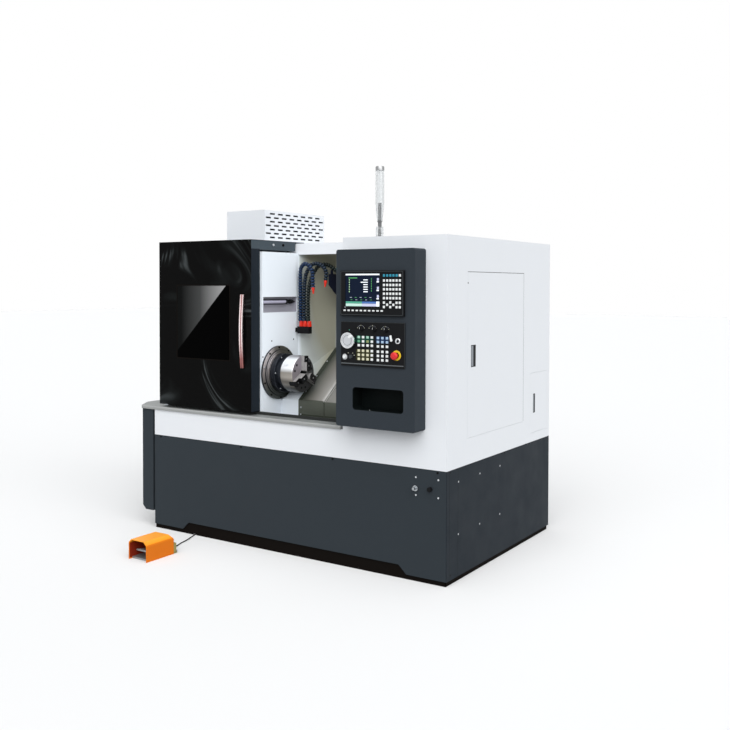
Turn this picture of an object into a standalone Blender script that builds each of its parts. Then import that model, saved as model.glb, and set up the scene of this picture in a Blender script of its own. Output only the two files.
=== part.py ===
"""A slant-bed CNC turning lathe with its enclosure, control box and foot switch.

Everything is in metres with +Z up. The shapes are laid out in the machine's own
frame: X runs right from the left end of the base, Y runs back from the base's
front and Z runs up from the skirt's lower edge. place_on_floor() then moves all
of it so that the origin lies on the floor under the middle of the machine.
"""

from math import cos, pi, radians, sin

import bmesh
import bpy
from mathutils import Matrix, Vector

# Fits: one hairline clearance between neighbours, and larger ones where a piece runs or swings.
CLEAR = 0.0003
RUN_GAP = 0.0015
BORE_FIT = 0.0008
LEAF_GAP = 0.0008
SHEET = 0.004
WALL = 0.008
OVER = 0.010

# Base and enclosure.
FLOOR_GAP = 0.024
BASE_W = 1.914
BASE_D = 1.239
SKIRT_H = 0.518
BODY_TOP = 1.620
NOTCH_LEFT = 0.2655
NOTCH_RIGHT = BASE_W - 0.2614
NOTCH_TOP = 0.0415
NOTCH_RUN = 0.0450
FRAME_BOTTOM = 0.045
FRAME_TOP = 0.120
FRAME_RAIL = 0.190
FEET_X = (0.514, 0.871, BASE_W - 0.491)
FOOT_INSET = 0.120
FOOT_PAD_R = 0.034
FOOT_PAD_H = 0.014
FOOT_STEM_R = 0.013
CABINET_W = 0.588
OPENING_RIGHT = BASE_W - CABINET_W
PANEL_Y = 0.078
HEADER_Y = 0.395
HEADER_Z = 1.557
HEADER_T = 0.025
RETURN_D = 0.160

# Dark housing on the left end.
END_LEFT = -0.100
END_RIGHT = -0.015
END_BOTTOM = 0.073
END_TOP = 0.664
END_CHAMFER = 0.024
END_D = BASE_D - 0.139
END_STEP = 0.030

# Stainless ledge with the guide strip of the front door.
SILL_Z = 0.664
SILL_T = 0.019
SILL_FRONT = -0.008
SILL_BACK = 0.074
SILL_RIGHT = OPENING_RIGHT - 0.009
SILL_TIP = -0.180
SILL_TIP_Y = 0.115
SILL_WING_Y = 0.400
STRIP_W = 0.008

# Front door, slid fully open.
DOOR_LEFT = 0.040
DOOR_RIGHT = 0.728
DOOR_BOTTOM = 0.700
DOOR_TOP = 1.628
DOOR_FLANGE = 0.074
DOOR_HOOD_D = 0.385
DOOR_LIP_D = 0.469
DOOR_HOOD_Z = 1.575
PANE_LEFT = 0.180
PANE_RIGHT = 0.580
PANE_BOTTOM = 0.970
PANE_TOP = 1.384
PULL_X = 0.667
PULL_BOTTOM = 0.939
PULL_TOP = 1.340
PULL_W = 0.023
PULL_T = 0.012
PULL_BOW = 0.013
PULL_STEPS = 10

# Slope of the bed, its covers and what rides on them.
SLOPE_DEG = 37.5
LIP_Y = 0.243
LIP_Z = 0.752
LIP_BOTTOM = 0.660
COVER_RUN = 0.445
COVER_T = 0.003
BED_DROP = 0.120
BED_LEFT = 0.200
BED_RIGHT = BASE_W - 0.054
BED_FRONT_Z = 0.450
BED_TOE_Y = 0.260
BED_SHOULDER_Z = 0.300
BED_RUN = 0.660
BED_HEEL_Y = BASE_D - 0.109
BED_CORE_Y = (0.420, BED_HEEL_Y - 0.150)
BED_CORE_Z = (0.180, 0.620)
RAIL_LEFT = 0.870
RAIL_RIGHT = BED_RIGHT - 0.015
RAIL_H = 0.025
RAIL_W = 0.035
RAIL_S = (0.060, 0.340)
GUARD_LEFT = 0.860
SADDLE_X = (BASE_W - 0.474, BASE_W - 0.194)
COVER_LAP = 0.011
COVER_END_SHARES = (0.295, 0.624)
GUARD_RIGHT = GUARD_LEFT + (SADDLE_X[0] - GUARD_LEFT) * COVER_END_SHARES[0]
MID_COVER_X = (GUARD_RIGHT - COVER_LAP, GUARD_LEFT + (SADDLE_X[0] - GUARD_LEFT) * COVER_END_SHARES[1])
SADDLE_COVER_LEFT = MID_COVER_X[1] - COVER_LAP
APRON_RUN = 0.430
SADDLE_S = (0.030, 0.410)
SADDLE_LEG = 0.035
SADDLE_FOOT_GAP = 0.006
SADDLE_BELLY = 0.040
SLIDE_X = (SADDLE_X[0] + 0.030, SADDLE_X[1] - 0.020)
SLIDE_S = (0.100, 0.420)
SLIDE_T = 0.050
HEAD_S = (0.250, 0.430)
HEAD_TOP = 0.205
HEAD_CHAMFER = 0.035
DISC_T = 0.070
DISC_R = 0.110
DISC_HUB_R = 0.045
DISC_REACH = 0.290
STATIONS = 12
POCKET_W = 0.022
POCKET_DEEP = 0.014

# Headstock, spindle, chuck and jaws.
AXIS_Y = 0.215
AXIS_Z = 0.902
HEADSTOCK_X = (0.240, 0.7357)
HEADSTOCK_FRONT = 0.105
HEADSTOCK_TOP = 1.100
HEADSTOCK_KNEE = 0.740
HEADSTOCK_TOE = 0.190
HEADSTOCK_RUN = 0.360
HEADSTOCK_BACK_Z = 1.020
HEADSTOCK_CHAMFER = 0.066
GUARD_X = 0.740
FACET_X = 0.858
BACK_Y = 0.600
GUARD_BOTTOM = 0.645
GUARD_TOP = 1.565
GUARD_HOLE_R = 0.100
BACK_BOTTOM = 1.022
SPINDLE_R = 0.074
SPINDLE_REAR = 0.185
SPINDLE_TAIL_R = 0.045
SPINDLE_BORE_R = 0.026
PULLEY_R = 0.096
PULLEY_X = (0.195, 0.232)
NOSE_X = 0.8257
NOSE_R = 0.085
NOSE_T = 0.022
NECK_R = 0.068
ADAPTER_X = (0.7645, 0.7990)
ADAPTER_R = 0.1120
RING_STEPS = ((0.0130, 0.1485), (0.0185, 0.1330), (0.0220, 0.1190))
CHUCK_X = (0.826, 0.915)
CHUCK_R = 0.0995
CHUCK_BACK_R = 0.090
CHUCK_BACK_T = 0.012
CHUCK_EDGE = 0.005
JAW_SLOT_W = 0.030
JAW_SLOT_DEEP = 0.028
JAW_IN = 0.030
JAW_OUT = 0.096
JAW_TOP_W = 0.037
JAW_NIB_R = 0.0142
JAW_NIB_W = 0.0130
JAW_CHEEK_R = 0.0214
JAW_STEP_R = 0.066
JAW_LOW = 0.021
JAW_HIGH = 0.038
JAW_TIP_R = 0.0990
JAWS = 3
JAW_FIRST_DEG = 90.0

# Chip pan and work lamp.
PAN_Z = (SKIRT_H + 0.0045, 0.640)
PAN_BACK = 0.255
LAMP_Y = (0.082, 0.392)
LAMP_Z = (1.228, 1.325)
LAMP_DEEP = 0.034
LAMP_TRAY_T = 0.003
LAMP_RIM = 0.006
TUBE_R = 0.010
TUBE_Z = 1.291
TUBE_END = 0.312
GLAND_END = 0.348
GLAND_R = 0.013
GLAND_STEM_R = 0.007

# Coolant manifold, its three ball-chain hoses and their nozzles.
MANIFOLD_X = (0.747, 0.843)
MANIFOLD_Y = (0.361, 0.394)
MANIFOLD_Z = (1.111, 1.151)
MANIFOLD_FOOT_INSET = 0.004
NUT_X = (0.770, 0.797, 0.826)
NUT_R = 0.0125
NUT_H = 0.047
NUT_SIDES = 6
LINK_PITCH = 0.016
BALL_R = 0.0122
SOCKET_R = 0.0092
LINK_SIDES = 8
NOZZLES = 2
NOZZLE_R = 0.0080
NOZZLE_TIP_R = 0.0035
NOZZLE_H = 0.036
HOSE_SPAN = 0.300
# Each bend of a hose as shares of HOSE_SPAN from where the hose starts on its nut.
HOSE_BEND_SHARES = (
    ((0.000, 0.000, 0.439), (0.003, -0.005, 0.806), (0.033, -0.022, 0.939), (0.133, -0.045, 1.016),
     (0.253, -0.062, 0.979), (0.327, -0.065, 0.856), (0.347, -0.065, 0.579)),
    ((0.000, 0.000, 0.439), (0.000, 0.022, 0.672), (0.017, 0.048, 0.839), (0.110, 0.075, 0.996),
     (0.250, 0.088, 1.046), (0.383, 0.088, 0.992), (0.453, 0.078, 0.866), (0.450, 0.065, 0.706)),
    ((0.000, 0.000, 0.439), (0.007, 0.048, 0.672), (0.033, 0.115, 0.839), (0.120, 0.188, 0.986),
     (0.260, 0.228, 1.026), (0.430, 0.248, 0.959), (0.597, 0.258, 0.819), (0.713, 0.262, 0.646),
     (0.747, 0.262, 0.456)),
)

# Louvred box on the roof and the signal lamp.
LOUVRE_X = (0.122, 0.420)
LOUVRE_Y = (0.485, BASE_D - 0.153)
LOUVRE_TOP = 1.833
LOUVRE_ROWS = 7
LOUVRE_COUNTS = (7, 8)
LOUVRE_DEEP = LOUVRE_Y[1] - LOUVRE_Y[0]
LOUVRE_FIRST_SHARE = 0.1248
LOUVRE_PITCH_SHARE = 0.1032
LOUVRE_SLOT_SHARE = 0.0699
LOUVRE_DROP = 0.027
LOUVRE_ROW_PITCH = 0.021
LOUVRE_H = 0.007
BEACON_X = OPENING_RIGHT + 0.089
BEACON_Y = 0.200
BEACON_STEPS = ((0.062, 0.0215), (0.086, 0.0110), (0.181, 0.0150))
BEACON_CUP_R = 0.023
BEACON_LENS_H = 0.1867
BEACON_CROWN = 0.006

# Control box with its display unit and operator panel.
BOX_X = (OPENING_RIGHT + 0.032, OPENING_RIGHT + 0.474)
BOX_Z = (0.700, 1.553)
BOX_D = 0.100
BOX_EDGE = 0.006
BOX_SKIN = 0.005
BOX_FLOOR_Z = 0.920
BOX_POCKET_X = (BOX_X[0] + 0.095, BOX_X[1] - 0.063)
BOX_POCKET_Z = (0.787, 0.892)
BOX_POCKET_D = 0.080
BOX_POCKET_R = 0.009
CORNER_STEPS = 3
DISPLAY_X = (BOX_X[0] + 0.032, BOX_X[1] - 0.059)
DISPLAY_Z = (1.238, 1.454)
DISPLAY_T = 0.016
DISPLAY_EDGE = 0.003
SCREEN_X = (DISPLAY_X[0] + 0.024, DISPLAY_X[1] - 0.136)
SCREEN_Z = (1.283, 1.440)
SCREEN_DEEP = 0.003
SCREEN_T = 0.002
PANEL_X = (BOX_X[0] + 0.026, BOX_X[1] - 0.057)
PANEL_Z = (0.996, 1.209)
PANEL_T = 0.006
WHEEL_AT = (PANEL_X[0] + 0.056, PANEL_Z[0] + 0.123)
WHEEL_R = 0.0395
WHEEL_T = 0.014
WHEEL_LIFT = 0.006
WHEEL_SHAFT_R = 0.008
WHEEL_GRIP_R = 0.006
WHEEL_GRIP_H = 0.016
WHEEL_GRIP_SHARE = 0.70
KNOB_RISE = 0.178
KNOB_1_AT = (PANEL_X[0] + 0.123, PANEL_Z[0] + KNOB_RISE)
KNOB_2_AT = (PANEL_X[0] + 0.197, PANEL_Z[0] + KNOB_RISE)
KNOB_3_AT = (PANEL_X[0] + 0.262, PANEL_Z[0] + KNOB_RISE)
KNOB_R = 0.0125
KNOB_H = 0.016
KNOB_GRIP_T = 0.006
KNOB_STEM_R = 0.004
LEVER_AT = (PANEL_X[0] + 0.296, PANEL_Z[0] + 0.131)
LEVER_R = 0.0075
LEVER_L = 0.020
KEY_AT = (PANEL_X[0] + 0.328, PANEL_Z[0] + 0.128)
KEY_R = 0.009
KEY_H = 0.004
KEY_BOW_W = 0.014
KEY_BOW_H = 0.018
KEY_BOW_T = 0.0024
START_AT = (PANEL_X[0] + 0.029, PANEL_Z[0] + 0.043)
HOLD_AT = (PANEL_X[0] + 0.064, PANEL_Z[0] + 0.044)
BUTTON_R = 0.0105
BUTTON_H = 0.008
STOP_AT = (PANEL_X[0] + 0.318, PANEL_Z[0] + 0.059)
STOP_R = 0.021
STOP_NECK_R = 0.012
STOP_H = 0.026
STOP_LIFT = 0.007
STOP_DIP = 0.0012
STEM_DEEP = 0.003

# Doors in the right side.
SIDE_Y = (0.208, BASE_D - 0.370)
SIDE_Z = (SKIRT_H + 0.127, SKIRT_H + 0.931)
SIDE_PULL_Y = (0.242, 0.294)
SIDE_PULL_Z = (SIDE_Z[0] + 0.342, SIDE_Z[0] + 0.449)
REAR_Y = (BASE_D - 0.272, BASE_D - 0.035)
REAR_Z = (SKIRT_H + 0.049, SKIRT_H + 0.382)
REAR_PULL_Y = (REAR_Y[0] + 0.039, REAR_Y[0] + 0.067)
REAR_PULL_Z = (REAR_Z[0] + 0.110, REAR_Z[0] + 0.216)
PULL_DEEP = 0.005

# Air fittings on the skirt.
FITTING_AT = (BASE_W - 0.163, SKIRT_H - 0.094)
FITTING_R = 0.014
FITTING_L = 0.030
PORT_AT = (BASE_W - 0.086, SKIRT_H - 0.091)
PORT_R = 0.011
PORT_L = 0.016

# Foot switch on the floor.
PEDAL_X = (0.341, 0.471)
PEDAL_Y = (-0.507, -0.317)
PEDAL_H = 0.105
PEDAL_SKIN = 0.004
PEDAL_CORNER = 0.018
PEDAL_NAPE = 0.030
PEDAL_PLATE_T = 0.010
PEDAL_PLATE_INSET = 0.016
PEDAL_PLATE_FRONT = -0.487
PEDAL_PLATE_BACK = -0.276
PEDAL_BLOCK_Y = (-0.345, -0.290)
PEDAL_BLOCK_H = 0.052
TREAD_T = 0.008
TREAD_FRONT = -0.478
TREAD_HINGE = (-0.356, 0.022)
TREAD_HINGE_R = 0.006
TREAD_RISE = 0.020
TREAD_INSET = 0.026
CORD_R = 0.0030
CORD_GLAND_R = 0.008
CORD_GLAND_L = 0.026
CORD_EXIT_Z = 0.019
CORD_BENDS = (
    (0.406, -0.230, 0.0170), (0.398, -0.205, 0.0075), (0.375, -0.185, 0.0035), (0.345, -0.160, 0.0032),
    (0.318, -0.120, 0.0032), (0.297, -0.060, 0.0032), (0.281, -0.005, 0.0032), (0.263, 0.045, 0.0040),
    (0.252, 0.082, 0.0180), (0.250, 0.094, 0.0400),
)
CORD_END = (0.250, 0.097)
CORD_STEP = 0.0082

FINISHES = {
    "slate_enamel": ((0.036, 0.041, 0.050), 0.0, 0.45),
    "white_enamel": ((0.760, 0.775, 0.800), 0.0, 0.38),
    "olive_enamel": ((0.160, 0.160, 0.115), 0.0, 0.50),
    "black_gloss": ((0.008, 0.009, 0.011), 0.0, 0.12),
    "stainless": ((0.420, 0.420, 0.420), 1.0, 0.35),
    "cast_enamel": ((0.120, 0.130, 0.140), 0.0, 0.60),
    "ground_steel": ((0.300, 0.300, 0.300), 1.0, 0.30),
    "dark_steel": ((0.060, 0.060, 0.060), 1.0, 0.40),
    "chrome": ((0.800, 0.800, 0.800), 1.0, 0.08),
    "copper_anodised": ((0.560, 0.270, 0.220), 1.0, 0.30),
    "glass": ((0.030, 0.035, 0.040), 0.0, 0.05),
    "clear_plastic": ((0.700, 0.720, 0.730), 0.0, 0.10),
    "black_plastic": ((0.015, 0.015, 0.016), 0.0, 0.45),
    "navy_plastic": ((0.012, 0.028, 0.085), 0.0, 0.40),
    "orange_plastic": ((0.700, 0.070, 0.015), 0.0, 0.40),
    "white_plastic": ((0.780, 0.780, 0.770), 0.0, 0.35),
    "red_plastic": ((0.580, 0.012, 0.014), 0.0, 0.30),
    "orange_enamel": ((0.750, 0.190, 0.010), 0.0, 0.35),
    "black_rubber": ((0.012, 0.012, 0.012), 0.0, 0.70),
}

PLACE = {
    "X": lambda a, b, t: (t, a, b),
    "Y": lambda a, b, t: (a, t, b),
    "Z": lambda a, b, t: (a, b, t),
}
SLOPE = radians(SLOPE_DEG)
PEDAL_FLOOR = -FLOOR_GAP


def shape(vertices, faces):
    """A mesh object from vertices and faces, its normals facing out."""
    mesh = bpy.data.meshes.new("shape")
    work = bmesh.new()
    points = [work.verts.new(v) for v in vertices]
    for face in faces:
        work.faces.new([points[i] for i in face])
    bmesh.ops.recalc_face_normals(work, faces=work.faces)
    work.to_mesh(mesh)
    work.free()
    item = bpy.data.objects.new("shape", mesh)
    bpy.context.scene.collection.objects.link(item)
    return item


def prism(outline, along, span):
    """A straight bar: the outline, in the plane across `along`, carried from span[0] to span[1]."""
    count = len(outline)
    vertices = [PLACE[along](a, b, t) for t in span for a, b in outline]
    sides = [(i, (i + 1) % count, count + (i + 1) % count, count + i) for i in range(count)]
    return shape(vertices, sides + [tuple(range(count)), tuple(range(count, 2 * count))])


def block(x, y, z):
    """A rectangular block from three (low, high) pairs."""
    return prism([(x[0], y[0]), (x[1], y[0]), (x[1], y[1]), (x[0], y[1])], "Z", z)


def softened(item, radius, steps=1):
    """The object with every edge bevelled by radius."""
    work = bmesh.new()
    work.from_mesh(item.data)
    bmesh.ops.bevel(work, geom=work.edges[:], offset=radius, segments=steps, profile=0.5,
                    affect="EDGES", clamp_overlap=True)
    work.to_mesh(item.data)
    work.free()
    return item


def rounded(a, b, radius):
    """The outline of a rectangle with its corners rounded to radius."""
    outline = []
    for k, (u, v) in enumerate(((a[1] - radius, b[1] - radius), (a[0] + radius, b[1] - radius),
                                (a[0] + radius, b[0] + radius), (a[1] - radius, b[0] + radius))):
        for i in range(CORNER_STEPS + 1):
            turn = pi / 2 * (k + i / CORNER_STEPS)
            outline.append((u + radius * cos(turn), v + radius * sin(turn)))
    return outline


def turned(profile, base, along, sides, first=0.0):
    """A turned solid. profile lists (distance along the axis, radius); a closed bore is a profile that
    never reaches radius zero, and its last point joins its first."""
    along = Vector(along).normalized()
    across = along.orthogonal().normalized()
    if abs(along.z) < 1 / 2:
        across = Vector((0, 0, 1))
    over = along.cross(across)
    vertices, rings, faces = [], [], []
    for distance, radius in profile:
        middle = Vector(base) + along * distance
        if radius == 0:
            rings.append([len(vertices)])
            vertices.append(middle)
            continue
        rings.append(list(range(len(vertices), len(vertices) + sides)))
        for i in range(sides):
            turn = first + 2 * pi * i / sides
            vertices.append(middle + (across * cos(turn) + over * sin(turn)) * radius)
    pairs = list(zip(rings, rings[1:]))
    if len(rings[0]) > 1 and len(rings[-1]) > 1:
        pairs.append((rings[-1], rings[0]))
    for a, b in pairs:
        for i in range(sides):
            j = (i + 1) % sides
            if len(a) > 1 and len(b) > 1:
                faces.append((a[i], a[j], b[j], b[i]))
            elif len(a) > 1:
                faces.append((a[i], a[j], b[0]))
            elif len(b) > 1:
                faces.append((a[0], b[j], b[i]))
    return shape(vertices, faces)


def rod(base, along, length, radius, sides):
    """A plain round rod from base."""
    return turned([(0, 0), (0, radius), (length, radius), (length, 0)], base, along, sides)


def bundled(items):
    """Several objects that stay apart, made into one."""
    work = bmesh.new()
    for item in items:
        work.from_mesh(item.data)
    mesh = bpy.data.meshes.new("shape")
    work.to_mesh(mesh)
    work.free()
    for item in items:
        bpy.data.objects.remove(item)
    item = bpy.data.objects.new("shape", mesh)
    bpy.context.scene.collection.objects.link(item)
    return item


def combined(operation, item, others):
    for other in others:
        modifier = item.modifiers.new(operation, "BOOLEAN")
        modifier.operation, modifier.solver, modifier.object = operation, "EXACT", other
    bpy.context.view_layer.update()
    evaluated = item.evaluated_get(bpy.context.evaluated_depsgraph_get())
    mesh = bpy.data.meshes.new_from_object(evaluated)
    item.modifiers.clear()
    item.data = mesh
    for other in others:
        bpy.data.objects.remove(other)
    return item


def fused(item, *others):
    return combined("UNION", item, others)


def cut(item, *others):
    return combined("DIFFERENCE", item, others)


def grown(span, by):
    """A (low, high) pair widened by `by` at both ends; a negative value narrows it."""
    return (span[0] - by, span[1] + by)


def node(name, item, finish, pivot=(0, 0, 0)):
    """Names the object, gives it its finish and puts its origin on the pivot."""
    item.name = item.data.name = name
    colour, metallic, roughness = FINISHES[finish]
    material = bpy.data.materials.get(finish)
    if material is None:
        material = bpy.data.materials.new(finish)
        material.use_nodes = True
        shader = material.node_tree.nodes["Principled BSDF"]
        shader.inputs["Base Color"].default_value = (*colour, 1)
        shader.inputs["Metallic"].default_value = metallic
        shader.inputs["Roughness"].default_value = roughness
        material.diffuse_color = (*colour, 1)
    item.data.materials.clear()
    item.data.materials.append(material)
    item.data.transform(Matrix.Translation(-Vector(pivot)))
    item.location = pivot
    return item


def slope(s, n):
    """(y, z) of the point s up the slope from the covers' fold and n out from their outer face."""
    return (LIP_Y + s * cos(SLOPE) - n * sin(SLOPE), LIP_Z + s * sin(SLOPE) + n * cos(SLOPE))


def cover_line(inset):
    """The covers' outer line, moved in by inset: foot of the lip, fold and rear edge, as (y, z)."""
    fold = inset * (1 - sin(SLOPE)) / cos(SLOPE)
    return [(LIP_Y + inset, LIP_BOTTOM), slope(fold, -inset), slope(COVER_RUN, -inset)]


def cover_sheet(inset, span):
    return prism(cover_line(inset) + cover_line(inset + COVER_T)[::-1], "X", span)


def smooth_path(points, step):
    """Points every `step` along a curve that passes smoothly through the given ones."""
    points = [Vector(p) for p in points]
    ends = [2 * points[0] - points[1], *points, 2 * points[-1] - points[-2]]
    dense = []
    for a, b, c, d in zip(ends, ends[1:], ends[2:], ends[3:]):
        for i in range(16):
            t = i / 16
            dense.append((2 * b + (c - a) * t + (2 * a - 5 * b + 4 * c - d) * t * t
                          + (3 * b - a - 3 * c + d) * t ** 3) / 2)
    dense.append(points[-1])
    length = sum((b - a).length for a, b in zip(dense, dense[1:]))
    count = max(2, round(length / step))
    wanted, path, gone, index = length / count, [dense[0]], 0, 0
    while len(path) < count:
        target = wanted * len(path)
        while gone + (dense[index + 1] - dense[index]).length < target:
            gone += (dense[index + 1] - dense[index]).length
            index += 1
        leg = dense[index + 1] - dense[index]
        path.append(dense[index] + leg * ((target - gone) / leg.length))
    return [*path, dense[-1]]


def ball_chain(bends):
    """A self-supporting coolant hose: ball-and-socket links of one pitch threaded on a smooth path.
    Each link swells to the ball radius at its middle and necks down where it grips the next."""
    path = smooth_path(bends, LINK_PITCH / 2)
    if len(path) % 2 == 0:
        path = smooth_path(bends, (LINK_PITCH / 2) * (len(path) - 1) / len(path))
    across = Vector((0, 1, 0))
    vertices, faces = [], []
    for i, point in enumerate(path):
        ahead = (path[min(i + 1, len(path) - 1)] - path[max(i - 1, 0)]).normalized()
        across = (across - ahead * across.dot(ahead)).normalized()
        over = ahead.cross(across)
        radius = BALL_R if i % 2 else SOCKET_R
        for k in range(LINK_SIDES):
            turn = 2 * pi * k / LINK_SIDES
            vertices.append(point + (across * cos(turn) + over * sin(turn)) * radius)
        if i:
            low, high = (i - 1) * LINK_SIDES, i * LINK_SIDES
            for k in range(LINK_SIDES):
                j = (k + 1) % LINK_SIDES
                faces.append((low + k, low + j, high + j, high + k))
    faces.append(tuple(range(LINK_SIDES)))
    faces.append(tuple(range(len(vertices) - LINK_SIDES, len(vertices))))
    return shape(vertices, faces), path[-1], (path[-1] - path[-2]).normalized()


def build_base():
    inside = WALL + CLEAR
    rim = block((inside, BASE_W - inside), (inside, BASE_D - inside), (FRAME_BOTTOM, FRAME_TOP))
    window = block((FRAME_RAIL, BASE_W - FRAME_RAIL), (FRAME_RAIL, BASE_D - FRAME_RAIL),
                   (FRAME_BOTTOM - OVER, FRAME_TOP + OVER))
    rim = cut(rim, window)
    for x in FEET_X:
        for y in (FOOT_INSET, BASE_D - FOOT_INSET):
            foot = turned([(0, 0), (0, FOOT_PAD_R), (FOOT_PAD_H / 2, FOOT_PAD_R), (FOOT_PAD_H, FOOT_STEM_R),
                           (FLOOR_GAP + FRAME_BOTTOM + OVER, FOOT_STEM_R),
                           (FLOOR_GAP + FRAME_BOTTOM + OVER, 0)], (x, y, -FLOOR_GAP), (0, 0, 1), 16)
            rim = fused(rim, foot)
    node("base_frame", rim, "cast_enamel")

    skirt = cut(block((0, BASE_W), (0, BASE_D), (0, SKIRT_H)),
                block((WALL, BASE_W - WALL), (WALL, BASE_D - WALL), (-OVER, SKIRT_H + OVER)))
    notch = prism([(NOTCH_LEFT - NOTCH_RUN - OVER, -OVER), (NOTCH_RIGHT + NOTCH_RUN + OVER, -OVER),
                   (NOTCH_RIGHT, NOTCH_TOP), (NOTCH_LEFT, NOTCH_TOP)], "Y", (-OVER, WALL + OVER))
    node("base_skirt", cut(skirt, notch), "slate_enamel")

    outline = [(END_LEFT, END_BOTTOM + END_CHAMFER), (END_LEFT + END_CHAMFER, END_BOTTOM),
               (END_RIGHT, END_BOTTOM), (END_RIGHT, END_TOP - CLEAR), (END_LEFT, END_TOP - CLEAR)]
    housing = prism(outline, "Y", (0, END_D))
    core = block((END_LEFT + END_CHAMFER, -CLEAR), (END_STEP, END_D - END_STEP),
                 (END_BOTTOM + END_STEP, END_TOP - END_STEP))
    housing = fused(housing, core)
    hollow = block((END_LEFT + WALL, OVER), (END_STEP + WALL, END_D - END_STEP - WALL),
                   (END_BOTTOM + END_STEP + WALL, END_TOP - END_STEP - WALL))
    node("end_housing", cut(housing, hollow), "slate_enamel")

    sill = prism([(END_LEFT, SILL_FRONT), (SILL_RIGHT, SILL_FRONT), (SILL_RIGHT, SILL_BACK),
                  (-CLEAR, SILL_BACK), (-CLEAR, SILL_WING_Y), (SILL_TIP, SILL_WING_Y),
                  (SILL_TIP, SILL_TIP_Y)], "Z", (SILL_Z, SILL_Z + SILL_T))
    strip = block((DOOR_LEFT, SILL_RIGHT), (SILL_BACK - STRIP_W, SILL_BACK),
                  (SILL_Z + SILL_T / 2, DOOR_BOTTOM - CLEAR))
    node("sill", fused(sill, strip), "stainless")


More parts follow.
